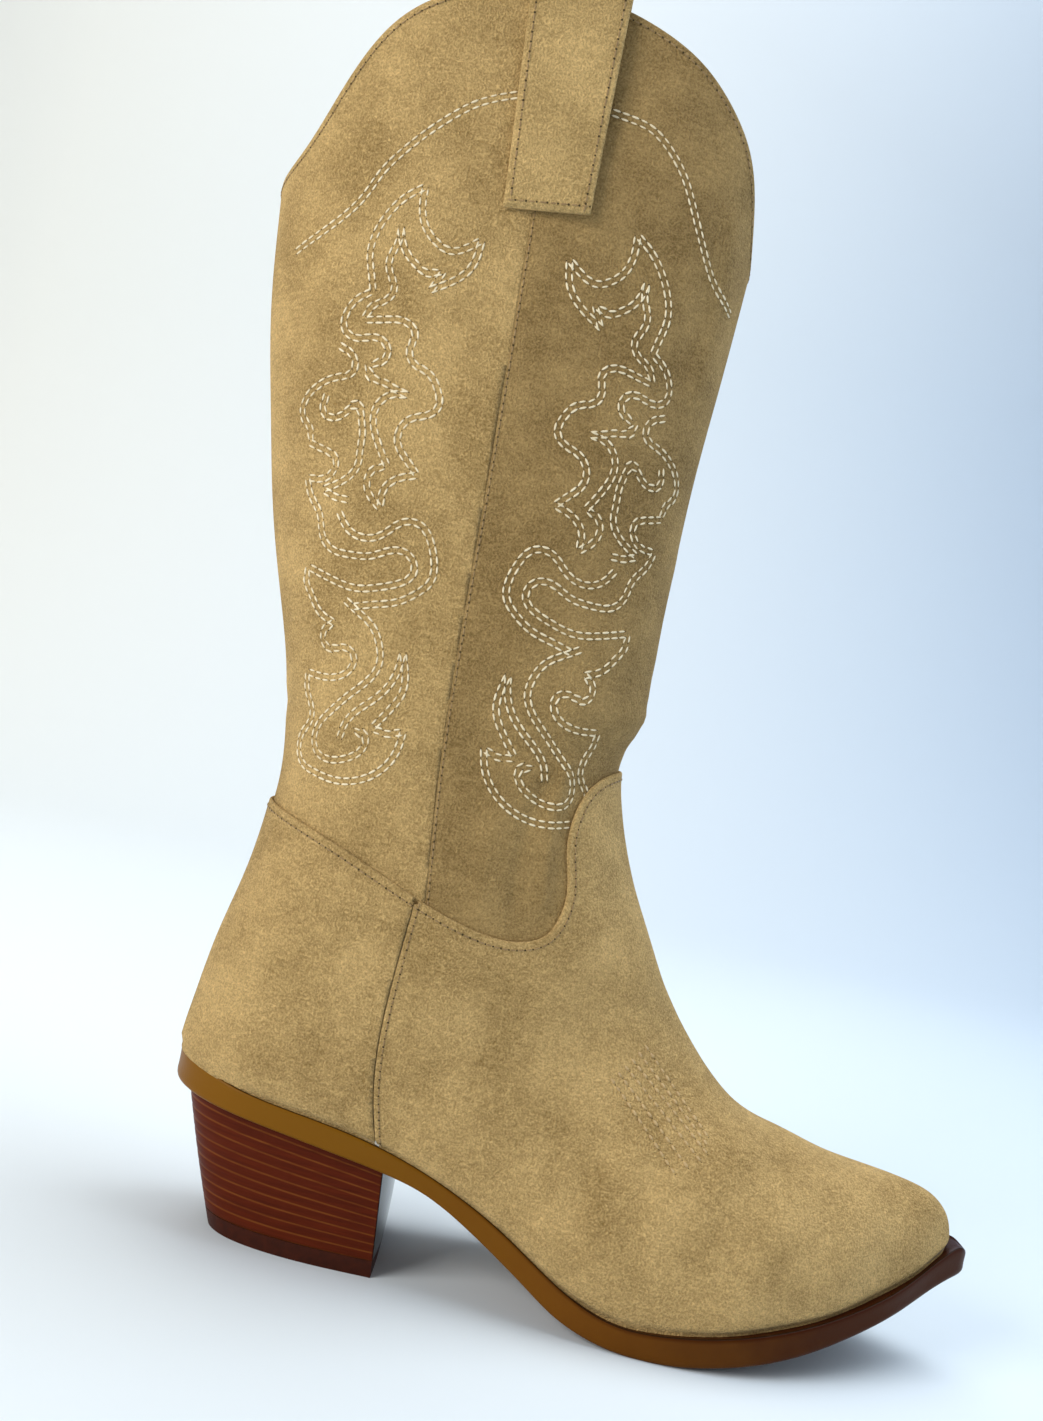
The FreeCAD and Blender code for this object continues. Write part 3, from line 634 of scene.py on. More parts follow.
rim_fold_back = turned_edge("rim_fold_back", rim_back, shaft_skin, (-80, 0, 200), tan_suede, SHAFT_CREASES)
rim_fold_front = turned_edge("rim_fold_front", rim_front, shaft_skin, (-40, 0, 200), front_suede_nap_and_shade,
                             SHAFT_CREASES)
seam_sides = both_sides(seam_middle, shaft_skin)
shaft_back = joined("shaft_back_suede", [back_panel, rim_fold_back])
shaft_front = joined("shaft_front_suede", [front_panel, rim_fold_front])
for piece, cad_name in ((shaft_back, "shaft_back_panel"), (shaft_front, "shaft_front_panel")):
    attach(piece, "root")
    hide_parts(cad_name)


# ---------------------------------------------------------------- counter cover and vamp
# The heel cover and the one-piece front, laid over the shaft with turned-in top edges. They meet in
# a lapped side seam and are pulled down over the last to the feather line above the sole.
TOPLINE = [
    (-150, 153), (-112.1, 143), (-80.9, 134), (-56.1, 124.4), (-36.4, 118.2), (-26.5, 116.8), (-18.6, 117.8),
    (-13.6, 120.6), (-10.6, 126.4), (-9.5, 133.3), (-10.9, 142), (-12.6, 151), (-12, 160), (-7.8, 170),
    (-1.1, 175), (8, 176.8), (40, 178),
]
VAMP_SEAM = [(-56.4, 150), (-57, 121), (-58.8, 88), (-56.7, 59), (-53.2, 44), (-50, 20)]
FEATHER = [
    (-150, 60.5), (-124.5, 57), (-102.4, 52.2), (-66.4, 47.2), (-46.4, 42.6), (-26.4, 35.3),
    (-6.4, 25.6), (13.1, 14.5), (32.6, 8.4), (45, 8.7), (62.2, 11), (83.3, 15.4), (106.1, 22.1),
    (131.6, 33.6), (142, 40.0), (147.5, 41.8), (151, 39.5), (170, 24),
]
topline = side_line(TOPLINE)
vamp_seam = side_line(VAMP_SEAM)
feather = side_line(FEATHER)
FOOT_CREASES = [
    (FEATHER, 0, -1.3, 1.3),
    ([(4, 150), (14, 128), (24, 112)], 0, 0.35, 6.0),
    ([(22, 66), (14, 50), (12, 34)], -1, -0.45, 4.5),
    ([(38, 62), (32, 44), (34, 28)], -1, -0.35, 4.0),
    ([(58, 60), (52, 46), (56, 30)], -1, 0.35, 4.5),
]
top_and_feather = [(topline, -1, EDGE_LAP), (feather, 1, -0.8)]
counter_body = upper_piece(
    "counter_suede", 0.0, top_and_feather + [(vamp_seam, -1, 0.1)], FOOT_CREASES, tan_suede)
vamp_body = upper_piece(
    "vamp_suede", 0.0, top_and_feather + [(vamp_seam, 1, EDGE_LAP)], FOOT_CREASES, tan_suede)
top_round = line_on(0.0, topline)
top_front, top_back = line_pieces(top_round, vamp_seam)
vamp_edges = [turned_edge("vamp_top_fold", top_front, outer_skin, (40, 0, 60), tan_suede, FOOT_CREASES)]
counter_fold = turned_edge("counter_top_fold", top_back, outer_skin, (-80, 0, 60), tan_suede, FOOT_CREASES)
vamp_seam_middle = vamp_seam[(vamp_seam[:, 1] > 43.5) & (vamp_seam[:, 1] < 123.5)]
vamp_seam_sides = both_sides(vamp_seam_middle, outer_skin)
for line in vamp_seam_sides:
    ahead_of_seam = line[len(line) // 2] + (30, 0, 0)
    vamp_edges.append(turned_edge("vamp_seam_lip", line, outer_skin, ahead_of_seam, tan_suede, FOOT_CREASES))
counter = joined("counter_suede", [counter_body, counter_fold])
vamp = joined("vamp_suede", [vamp_body] + vamp_edges)
for piece, cad_name in ((counter, "counter_cover"), (vamp, "vamp")):
    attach(piece, "root")
    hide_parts(cad_name)


# ---------------------------------------------------------------- stitching
# Machine-sewn rows of polyester thread: each stitch is a short plump bead, with a small flat dark disc
# between stitches as painted shade of the needle hole. Tan thread closes the seams; cream thread draws the
# shaft's fancy rows.
def stitch_tree():
    """Sews a row of stitches along every edge line of the mesh it is given, with a dark disc of painted
    needle-hole shade between each two.
    """
    tree = bpy.data.node_groups.new("Stitch row", "GeometryNodeTree")
    tree.interface.new_socket("Lines", in_out="INPUT", socket_type="NodeSocketGeometry")
    for label, value in (("Pitch", 0.003), ("Stitch length", 0.0022), ("Thread width", 0.0007),
                         ("Thread height", 0.0005), ("Hole width", 0.0007)):
        socket = tree.interface.new_socket(label, in_out="INPUT", socket_type="NodeSocketFloat")
        socket.default_value = value
    tree.interface.new_socket("Thread", in_out="INPUT", socket_type="NodeSocketMaterial")
    tree.interface.new_socket("Needle hole shade", in_out="INPUT", socket_type="NodeSocketMaterial")
    tree.interface.new_socket("Stitches", in_out="OUTPUT", socket_type="NodeSocketGeometry")
    given = tree.nodes.new("NodeGroupInput").outputs
    out = tree.nodes.new("NodeGroupOutput").inputs
    link = tree.links.new
    curve = tree.nodes.new("GeometryNodeMeshToCurve")
    spaced = node(tree, "GeometryNodeResampleCurve", mode="LENGTH")
    link(given["Lines"], curve.inputs["Mesh"])
    link(curve.outputs[0], spaced.inputs["Curve"])
    link(given["Pitch"], spaced.inputs["Length"])
    up = node(tree, "GeometryNodeInputNamedAttribute", data_type="FLOAT_VECTOR")
    up.inputs["Name"].default_value = "up"
    tangent = tree.nodes.new("GeometryNodeInputTangent")
    along = node(tree, "FunctionNodeAlignRotationToVector", axis="X")
    upright = node(tree, "FunctionNodeAlignRotationToVector", axis="Z", pivot_axis="X")
    link(tangent.outputs[0], along.inputs["Vector"])
    link(along.outputs[0], upright.inputs["Rotation"])
    link(up.outputs[0], upright.inputs["Vector"])
    wander = node(tree, "FunctionNodeRandomValue", data_type="FLOAT")
    wander.inputs["Seed"].default_value = 7
    wander.inputs[2].default_value = 0.86
    wander.inputs[3].default_value = 1.1
    results = []
    for kind in ("Thread", "Needle hole shade"):
        bead = tree.nodes.new("GeometryNodeMeshUVSphere")
        bead.inputs["Segments"].default_value = 6
        bead.inputs["Rings"].default_value = 4
        bead.inputs["Radius"].default_value = 0.5
        size = tree.nodes.new("ShaderNodeCombineXYZ")
        shaped = tree.nodes.new("GeometryNodeTransform")
        link(bead.outputs["Mesh"], shaped.inputs["Geometry"])
        link(size.outputs[0], shaped.inputs["Scale"])
        points = spaced.outputs[0]
        if kind == "Thread":
            link(given["Stitch length"], size.inputs[0])
            link(given["Thread width"], size.inputs[1])
            link(given["Thread height"], size.inputs[2])
        else:
            # The flat dark disc half a pitch along, between two stitches, is painted shade of the needle
            # hole.
            link(given["Hole width"], size.inputs[0])
            link(given["Hole width"], size.inputs[1])
            flat = node(tree, "ShaderNodeMath", operation="MULTIPLY", _1=0.25)
            link(given["Hole width"], flat.inputs[0])
            link(flat.outputs[0], size.inputs[2])
            half = node(tree, "ShaderNodeMath", operation="MULTIPLY", _1=0.5)
            link(given["Pitch"], half.inputs[0])
            shift = node(tree, "ShaderNodeVectorMath", operation="SCALE")
            link(tangent.outputs[0], shift.inputs[0])
            link(half.outputs[0], shift.inputs["Scale"])
            moved = tree.nodes.new("GeometryNodeSetPosition")
            link(points, moved.inputs["Geometry"])
            link(shift.outputs[0], moved.inputs["Offset"])
            points = moved.outputs[0]
        placed = tree.nodes.new("GeometryNodeInstanceOnPoints")
        link(points, placed.inputs["Points"])
        link(shaped.outputs[0], placed.inputs["Instance"])
        link(upright.outputs[0], placed.inputs["Rotation"])
        link(wander.outputs[1], placed.inputs["Scale"])
        real = tree.nodes.new("GeometryNodeRealizeInstances")
        link(placed.outputs[0], real.inputs[0])
        painted = tree.nodes.new("GeometryNodeSetMaterial")
        link(real.outputs[0], painted.inputs["Geometry"])
        link(given[kind], painted.inputs["Material"])
        results.append(painted)
    both = tree.nodes.new("GeometryNodeJoinGeometry")
    for painted in reversed(results):
        link(painted.outputs[0], both.inputs[0])
    link(both.outputs[0], out[0])
    return tree


stitch_rows = stitch_tree()


def thread_material(name, light, dark):
    """Twisted thread: a fine bump for its plies and a slow drift between two tones."""
    made, tree, shader = surface(name, 0.55, 0.25, (1, 0.95, 0.85, 1), 0.35)
    where = node(tree, "ShaderNodeTexCoord")
    plies = node(tree, "ShaderNodeTexNoise", _3=2.0, _4=0.5)
    plies.inputs["Scale"].default_value = 2600.0
    tone = node(tree, "ShaderNodeTexNoise", _3=2.0, _4=0.5)
    tone.inputs["Scale"].default_value = 140.0
    mixed = node(tree, "ShaderNodeMix", data_type="RGBA")
    mixed.inputs[6].default_value = light
    mixed.inputs[7].default_value = dark
    bump = node(tree, "ShaderNodeBump")
    bump.inputs["Strength"].default_value = 0.6
    bump.inputs["Distance"].default_value = 0.00012
    tree.links.new(where.outputs["Object"], plies.inputs["Vector"])
    tree.links.new(where.outputs["Object"], tone.inputs["Vector"])
    tree.links.new(tone.outputs[0], mixed.inputs[0])
    tree.links.new(mixed.outputs[2], shader.inputs["Base Color"])
    tree.links.new(plies.outputs[0], bump.inputs["Height"])
    tree.links.new(bump.outputs[0], shader.inputs["Normal"])
    return made


tan_thread = thread_material("tan_thread", (0.42, 0.27, 0.11, 1), (0.2, 0.12, 0.042, 1))
toned_thread = thread_material("toned_thread", (0.62, 0.43, 0.2, 1), (0.4, 0.26, 0.11, 1))
cream_thread = thread_material("cream_thread", (0.95, 0.84, 0.6, 1), (0.66, 0.52, 0.3, 1))
# Painted shade: the dark colour of the flat discs that stand for the shadow in each needle hole.
needle_hole_shade = suede("needle_hole_shade", (0.13, 0.085, 0.035, 1), (0.05, 0.03, 0.012, 1), 2200.0, 200.0)


def sewn_on(pieces):
    """A search tree of finished pieces, for laying thread on them."""
    points, faces = [], []
    for piece in pieces:
        start = len(points)
        points += [tuple(v.co / MM) for v in piece.data.vertices]
        faces += [[start + v for v in face.vertices] for face in piece.data.polygons]
    return BVHTree.FromPolygons(points, faces)


def row_beside(line, skin, towards, distance, spacing=0.8):
    """A line kept at one distance from an edge line, on the side that it faces."""
    line = evened(line, spacing, 3)
    spots, ups = laid(line, skin)
    return spots + inward(spots, ups, towards) * distance


def stitched(name, rows, skin, thread, pitch=3.0, length=2.3, width=0.75, height=0.5, hole=0.75, out=0.12):
    """Sews thread along rows of points laid on finished pieces, as one mesh."""
    points, ups, edges = [], [], []
    for row in rows:
        start = len(points)
        for point in evened(row, 0.8, 1):
            away = outer_skin.find_nearest(Vector(point))[1]
            spot, up, _, _ = skin.ray_cast(Vector(point) + away * 6, -away, 12.0)
            if spot:
                up = up if up.dot(away) > 0 else -up
                points.append(tuple(spot + up * out))
                ups.append(tuple(up))
        edges += [(k, k + 1) for k in range(start, len(points) - 1)]
    data = bpy.data.meshes.new(name)
    data.from_pydata((np.array(points) * MM).tolist(), edges, [])
    mark = data.attributes.new("up", "FLOAT_VECTOR", "POINT")
    mark.data.foreach_set("vector", np.array(ups).ravel())
    made = bpy.data.objects.new(name, data)
    bpy.context.collection.objects.link(made)
    sewing = made.modifiers.new("sewing", "NODES")
    sewing.node_group = stitch_rows
    values = {"Pitch": pitch * MM, "Stitch length": length * MM, "Thread width": width * MM,
              "Thread height": height * MM, "Hole width": hole * MM,
              "Thread": thread, "Needle hole shade": needle_hole_shade}
    for socket in stitch_rows.interface.items_tree:
        if socket.name in values:
            sewing[socket.identifier] = values[socket.name]
    finish_modifiers(made)
    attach(made, "root")
    return made


shaft_cloth = sewn_on([shaft_back, shaft_front])
foot_cloth = sewn_on([counter, vamp])


def row_inside(line, skin, inside, distance):
    """A row of stitches at one distance from a line, on the side of the point called inside."""
    return row_beside(line, skin, facing(line, skin, inside), distance)


def row_ahead(line, skin, distance):
    return row_inside(line, skin, line[len(line) // 2] + (30, 0, 0), distance)


rim_rows = [row_inside(line, shaft_skin, (-60, 0, 200), 2.3) for line in (rim_back, rim_front)]
side_rows = [row_ahead(line, shaft_skin, 0.9) for line in seam_sides]
stitched("rim_and_side_stitches", rim_rows + side_rows, shaft_cloth, tan_thread, 2.6, 1.9, 0.6, 0.4, 0.7)
top_rows = [row_inside(top_front, outer_skin, (40, 0, 60), 2.6),
            row_inside(top_back, outer_skin, (-80, 0, 60), 2.6)]
top_rows += [row_ahead(line, outer_skin, 1.8) for line in vamp_seam_sides]
stitched("foot_seam_stitches", top_rows, foot_cloth, tan_thread, 2.6, 1.9, 0.6, 0.4, 0.7)
# The toe patch: slanting rows beside the ridge of the vamp, each a step back and down from the last.
TOE_ROWS = 6
TOE_ROW_START = np.array((26.5, 90.0))
TOE_ROW_END = np.array((55.0, 68.0))
TOE_ROW_STEP = np.array((-1.9, -2.2))
TOE_ROW_TAPER = 2.0
TOE_RIDGE_CLEAR = 3.0
bug_rows = []
for step in range(TOE_ROWS):
    taper = np.array((abs(step - (TOE_ROWS - 1) / 2) * TOE_ROW_TAPER, 0.0))
    start = TOE_ROW_START + TOE_ROW_STEP * step
    end = TOE_ROW_END + TOE_ROW_STEP * step - taper
    drawn = start + (end - start) * np.linspace(0, 1, 14)[:, None]
    for row in both_sides(drawn, outer_skin):
        bug_rows.append(row[np.abs(row[:, 1]) > TOE_RIDGE_CLEAR])
stitched("toe_bug_stitches", bug_rows, foot_cloth, toned_thread, 2.9, 2.1, 1.0, 0.8, 0.38)


# ---------------------------------------------------------------- fancy stitching on the leg
# Double rows of cream thread, sewn on each panel before the leg is closed: an arch under the rim and
# below it a tall flame with curled leaves. Every quarter of the leg has the same drawing, mirrored.
WALK_STEP = 1.0
WALK_FAR = 104
WALK_LEVELS = np.arange(144.0, 412.0, 3.0)


def seam_walk(side, towards):
    """Points round the leg from the side seam, level by level, to the back (-1) or to the front (1)."""
    levels = []
    for level in WALK_LEVELS:
        x = float(np.interp(-level, -side_seam_line[:, 1], side_seam_line[:, 0]))
        spot, up, _, _ = shaft_skin.ray_cast(Vector((x, side * 80.0, level)), Vector((0, -side, 0)))
        walk = [tuple(spot)]
        heading = Vector((towards, 0, 0))
        for _ in range(WALK_FAR):
            level_up = Vector((up.x, up.y, 0)).normalized()
            heading = (heading - level_up * heading.dot(level_up)).normalized()
            ahead, up, _, _ = shaft_skin.find_nearest(spot + heading * WALK_STEP)
            spot = Vector((ahead.x, ahead.y, level))
            walk.append(tuple(spot))
        levels.append(walk)
    return np.array(levels)


def on_leg(walk, drawn):
    """Puts a drawing in (distance from the seam, height) on the leg."""
    u = np.clip(drawn[:, 0] / WALK_STEP, 0, WALK_FAR - 1.001)
    level_apart = WALK_LEVELS[1] - WALK_LEVELS[0]
    v = np.clip((drawn[:, 1] - WALK_LEVELS[0]) / level_apart, 0, len(WALK_LEVELS) - 1.001)
    a, b = u.astype(int), v.astype(int)
    s, t = (u - a)[:, None], (v - b)[:, None]
    low = walk[b, a] * (1 - s) + walk[b, a + 1] * s
    high = walk[b + 1, a] * (1 - s) + walk[b + 1, a + 1] * s
    return low * (1 - t) + high * t


# Drawn as (distance from the side seam, height) in mm, one list for each run between two points.
ARCH_BACK = [
    (10, 375), (22, 370), (29, 365), (37, 358), (43, 352), (49, 345), (54, 337), (61, 330), (70, 324),
    (79, 319),
]
ARCH_FRONT = [
    (13, 377), (20, 376.5), (26, 376), (32, 375), (39, 371), (46, 364), (52, 354), (58, 344), (66, 335),
    (76, 330),
]
FLAME = [
    [(34, 342), (40, 338), (45, 332), (48, 326), (49, 320), (47, 312), (46, 308)],
    [(46, 308), (51, 305), (54, 300), (54, 296), (49, 293), (42, 294), (38, 291), (39, 287), (43, 286)],
    [(43, 286), (43, 282), (39, 281), (33, 279), (29, 278)],
    [(29, 278), (35, 277), (39, 272), (39, 268), (37, 263), (34, 258), (32, 255)],
    [(32, 255), (37, 253), (38, 249), (35, 244), (32, 242)],
    [(32, 242), (32, 248), (28, 252), (22, 254)],
    [(22, 254), (26, 258), (30, 263), (30, 267), (27, 271), (22, 273), (19, 276), (20, 281), (24, 286),
     (29, 288), (31, 292), (30, 297), (33, 300), (40, 300), (47, 299)],
    [(47, 299), (46, 303), (41, 306), (39, 310), (41, 314), (42, 319), (40, 324), (40, 329)],
    [(40, 329), (38, 323), (33, 318), (28, 316), (25, 318)],
    [(25, 318), (25, 315), (28, 311)],
    [(28, 311), (21, 315), (16, 320), (14, 329)],
    [(14, 329), (18, 326), (23, 324), (28, 326), (32, 330), (34, 336), (34, 342)],
    [(55, 290), (49, 287), (48, 283), (54, 280), (60, 277), (65, 271), (65, 267), (61, 263), (61, 259)],
    [(61, 259), (54, 257), (50, 255), (51, 250), (60, 248)],
    [(60, 248), (58, 243), (53, 237), (51, 231), (47, 227), (40, 226), (32, 227), (25, 230), (20, 229),
     (18, 224), (22, 220), (27, 218), (36, 216), (43, 217), (54, 220)],
    [(56, 275), (57, 269), (51, 268), (45, 273), (43, 268), (42, 264), (42, 259), (42, 254), (47, 248),
     (53, 245)],
    [(53, 245), (48, 243), (43, 243)],
    [(46, 239), (42, 234), (36, 232), (30, 234), (24, 239), (18, 239), (14, 234), (12, 228), (12, 223),
     (16, 218), (22, 214), (29, 212), (36, 210)],
    [(54, 220), (55, 217), (52, 212), (48, 207), (41, 204)],
    [(41, 204), (45, 201), (43, 196), (36, 197), (33, 195), (34, 190), (39, 187), (50, 187)],
    [(50, 187), (50, 182), (47, 176), (47, 172), (51, 166), (50, 159), (43, 156), (33, 155), (25, 157),
     (18, 162), (14, 169), (13, 175)],
    [(13, 175), (18, 173), (23, 174)],
    [(23, 174), (18, 181), (15, 187), (15, 192), (17, 199)],
    [(17, 199), (18, 192), (21, 186), (27, 180), (33, 173), (34, 168)],
    [(39, 212), (34, 209), (28, 205), (25, 200), (24, 194), (27, 188), (32, 183), (39, 176), (44, 169),
     (43, 163), (37, 161), (30, 163), (25, 168), (25, 171), (30, 171)],
]
ROW_APART = 1.9


def twin_rows(drawn):
    """The two rows of one run, either side of its drawn line."""
    line = side_line(drawn, 0.8)
    ahead = np.gradient(line, axis=0)
    ahead /= np.linalg.norm(ahead, axis=1)[:, None]
    aside = np.stack([-ahead[:, 1], ahead[:, 0]], 1) * ROW_APART / 2
    return [line + aside, line - aside]


fancy_rows = []
for side in (-1, 1):
    for towards, arch in ((-1, ARCH_BACK), (1, ARCH_FRONT)):
        walk = seam_walk(side, towards)
        for run in [arch] + FLAME:
            fancy_rows += [on_leg(walk, row[2:-2]) for row in twin_rows(run)]
stitched("fancy_stitches", fancy_rows, shaft_cloth, cream_thread, 3.0, 2.6, 0.72, 0.5, 0.42)


# ---------------------------------------------------------------- pull straps
# A folded suede tape on each side: sewn flat to the leg, looped over the rim as a finger hold and
# sewn down again inside. It widens a little towards the rim.
STRAP_THICK = 2.4
STRAP_FOOT = 341.5
STRAP_INNER_FOOT = 352.0
STRAP_RIM = 411.0
STRAP_LOOP = 4.2
STRAP_SPARE = 10.0
STRAP_MIDDLE = (-60.9, -64.1)
STRAP_HALF = (13.5, 15.8)


def strap_points():
    """The strap's middle line seen along the boot, from its outer foot over the loop to its inner foot."""
    half = STRAP_THICK / 2
    foot_out = 43.58 - UPPER_THICK + 0.1 + half
    rim_out = 45.88 - UPPER_THICK + 0.1 + half
    inner_out = 43.94 - 3.6 - 0.1 - half
    top = STRAP_RIM + STRAP_SPARE
    middle = rim_out - half - STRAP_LOOP
    round_out = STRAP_LOOP + half
    path = [(foot_out + (rim_out - foot_out) * k / 24, STRAP_FOOT + (STRAP_RIM - STRAP_FOOT) * k / 24)
            for k in range(25)]
    path += [(rim_out, STRAP_RIM + STRAP_SPARE * k / 5) for k in range(1, 5)]
    path += [(middle + round_out * math.cos(math.pi * k / 16),
              top + round_out * math.sin(math.pi * k / 16) * 0.97) for k in range(17)]
    far = middle - round_out
    path += [(far + (inner_out - far) * k / 24, top + (STRAP_INNER_FOOT - top) * k / 24)
             for k in range(1, 25)]
    return np.array(path)


def strap(name, side):
    path = strap_points()
    ahead = np.gradient(path, axis=0)
    ahead /= np.linalg.norm(ahead, axis=1)[:, None]
    out = np.stack([ahead[:, 1], -ahead[:, 0]], 1)
    rings = []
    for step, ((y, z), (out_y, out_z)) in enumerate(zip(path, out)):
        share = (z - STRAP_FOOT) / (STRAP_RIM - STRAP_FOOT)
        middle = STRAP_MIDDLE[0] + (STRAP_MIDDLE[1] - STRAP_MIDDLE[0]) * share
        half = STRAP_HALF[0] + (STRAP_HALF[1] - STRAP_HALF[0]) * share
        tail = min(step, len(path) - 1 - step)
        thin = (0.62, 0.9, 1.0)[min(tail, 2)]
        slant = 1.6 * max(0.0, 1 - share * 9)
        ring = []
        for k in range(28):
            turn = 2 * math.pi * k / 28
            across = signed_power(math.cos(turn), 0.28)
            depth = signed_power(math.sin(turn), 0.75)
            sewn_in = 0.16 * math.exp(-((abs(across) - 0.84) / 0.05) ** 2)
            puff = 1.0 - sewn_in + 0.05 * math.sin(z / 9 + across * 2)
            thick = STRAP_THICK / 2 * depth * thin * puff
            ring.append((middle + half * across, side * (y + out_y * thick),
                         z + out_z * thick + slant * across))
        rings.append(ring)
    points, faces = tube(rings, False)
    made = mesh_object(name, points, faces, strap_suede)
    outwards(made)
    return made


strap_suede = suede("strap_suede", (0.82, 0.56, 0.235, 1), (0.27, 0.17, 0.055, 1), 1500.0, 36.0)
strap_rows = []
straps = []
for side, cad_name in ((-1, "pull_strap_lateral"), (1, "pull_strap_medial")):
    band = strap(cad_name + "_suede", side)
    straps.append(band)
    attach(band, "root")
    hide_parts(cad_name)
    path = strap_points()
    outer = path[1:40]
    for edge in (-1, 1):
        row = []
        for y, z in outer:
            share = (z - STRAP_FOOT) / (STRAP_RIM - STRAP_FOOT)
            middle = STRAP_MIDDLE[0] + (STRAP_MIDDLE[1] - STRAP_MIDDLE[0]) * share
            half = STRAP_HALF[0] + (STRAP_HALF[1] - STRAP_HALF[0]) * share - 2.0
            row.append((middle + edge * half, side * (y + 2), z))
        strap_rows.append(np.array(row))
    y = path[0][0] + 2
    strap_rows.append(np.array([(STRAP_MIDDLE[0] + k, side * y, STRAP_FOOT + 2.2 + k * 0.12)
                                for k in np.linspace(-11.5, 11.5, 20)]))
stitched("strap_stitches", strap_rows, sewn_on(straps), tan_thread, 2.9, 2.1, 0.65, 0.42, 0.75)


# ---------------------------------------------------------------- outsole
# Moulded caramel rubber, cut to the plan of the foot. Its edge is polished and darkens towards the
# ball and the toe, with a deep maroon line along its upper edge there; the underside is grained.
TREAD = [
    (-150, 47), (-113.4, 44.7), (-86.4, 42.0), (-66.4, 39.2), (-49.4, 36.3), (-36.4, 33.0),
    (-16.4, 23.1), (3, 11.3), (12.6, 5.7), (22.7, 2.1), (33, 0.3), (42, 0), (51, 0.3), (61.9, 1.7),
    (82.9, 6), (105.6, 13.6), (131.2, 25.0), (144, 31.0), (150.6, 33.2), (170, 38),
]
SOLE_OUTER = [
    (149.4, 0.0), (145.6, -3.4), (137, -9.5), (124, -19.5), (108, -29), (92, -36.5), (76, -41.5), (58, -44),
    (42, -43.8), (23, -41.2), (3, -37), (-16, -34), (-36, -32.8), (-58, -32.8), (-84, -31.6),
    (-102, -28), (-115, -20.5), (-122.8, -10),
]
SOLE_INNER = [
    (-122.8, 10), (-115, 20.5), (-102, 28), (-84, 31.6), (-58, 32.4), (-36, 31.2), (-16, 30.2), (3, 31),
    (23, 35.2), (42, 40), (60, 42.6), (76, 42), (92, 38.3), (108, 32), (124, 24), (137, 15.8),
    (145.6, 11.0), (149.4, 8.0),
]
SOLE_TOE = (150.8, 4.0)
SOLE_HEEL = (-125.2, 0.0)
# Profile of the polished edge: how far in from the plan, and the share of the way down from the top.
SOLE_EDGE = [
    (3.0, 0.04), (1.3, 0.04), (0.9, 0.0), (0.5, 0.0), (0.2, 0.03), (0.05, 0.08), (0.0, 0.15),
    (0.0, 0.25), (0.05, 0.4), (0.08, 0.55), (0.05, 0.7), (0.0, 0.82), (0.1, 0.91), (0.4, 0.97),
    (0.9, 1.0), (2.2, 1.0),
]


def sole_plan():
    """The outsole's plan as two matched lines, outer and inner, from heel to toe."""
    ring = np.array([SOLE_TOE] + SOLE_OUTER + [SOLE_HEEL] + SOLE_INNER + [SOLE_TOE], float)
    run = np.append(0, np.cumsum(np.linalg.norm(np.diff(ring, axis=0), axis=1)))
    dense = through(run, ring, np.linspace(0, run[-1], 3000), closed=True)
    front = dense[:, 0].argmax()
    dense = np.roll(dense[:-1], -front, axis=0)
    heel = dense[:, 0].argmin()
    outer = dense[:heel + 1][::-1]
    inner = dense[heel:]
    low, high = dense[heel, 0], dense[0, 0]
    x = (low + high) / 2 - (high - low) / 2 * np.cos(np.linspace(0, math.pi, 260))
    outer_y = np.interp(x, outer[:, 0], outer[:, 1])
    inner_y = np.interp(x, inner[:, 0], inner[:, 1])
    inner_y[0] = outer_y[0]
    return x, outer_y, inner_y


plan_x, plan_outer, plan_inner = sole_plan()
tread_line = side_line(TREAD, 0.5)


def sole_ring(inset):
    """The plan as one ring, drawn inwards: outer side heel to toe, inner side toe to heel."""
    ring = np.concatenate([np.stack([plan_x, plan_outer], 1), np.stack([plan_x, plan_inner], 1)[::-1][1:-1]])
    ahead = np.roll(ring, -1, axis=0) - np.roll(ring, 1, axis=0)
    ahead /= np.linalg.norm(ahead, axis=1)[:, None] + 1e-9
    return ring + np.stack([-ahead[:, 1], ahead[:, 0]], 1) * inset


def capped_stack(rings, half_count, across):
    """Closed mesh through a stack of plan rings, with both ends filled by strips across."""
    size = len(rings[0])
    points = [tuple(p) for ring in rings for p in ring]
    faces = []
    for r in range(len(rings) - 1):
        for k in range(size):
            a, b = r * size + k, r * size + (k + 1) % size
            faces.append((a, b, b + size, a + size))
    for start, flip in ((0, True), ((len(rings) - 1) * size, False)):
        columns = []
        for k in range(1, half_count - 1):
            a, b = start + k, start + size - k
            lane = [a]
            for step in range(1, across):
                lane.append(len(points))
                near, far = np.array(points[a]), np.array(points[b])
                points.append(tuple(near + (far - near) * step / across))
            lane.append(b)
            columns.append(lane)
        for left, right in zip(columns, columns[1:]):
            for step in range(across):
                face = (left[step], right[step], right[step + 1], left[step + 1])
                faces.append(face[::-1] if flip else face)
        first, last_lane = columns[0], columns[-1]
        faces.append(tuple([start] + first[::-1] if flip else [start] + first))
        tip = start + half_count - 1
        faces.append(tuple([tip] + last_lane if flip else [tip] + last_lane[::-1]))
    return np.array(points), faces


def heights(line, x):
    order = line[:, 0].argsort()
    return np.interp(x, line[order, 0], line[order, 1])


def sole_mesh():
    rings = []
    for inset, share in SOLE_EDGE:
        plan = sole_ring(inset)
        top, low = heights(feather, plan[:, 0]), heights(tread_line, plan[:, 0])
        rings.append(np.column_stack([plan, top + (low - top) * share]))
    points, faces = capped_stack(rings, len(plan_x), 14)
    made = mesh_object("outsole_rubber", points, faces, sole_rubber)
    outwards(made)
    mark = made.data.attributes.new("down", "FLOAT", "POINT")
    top, low = heights(feather, points[:, 0]), heights(tread_line, points[:, 0])
    mark.data.foreach_set("value", ((top - points[:, 2]) / np.maximum(top - low, 0.1)).tolist())
    return made


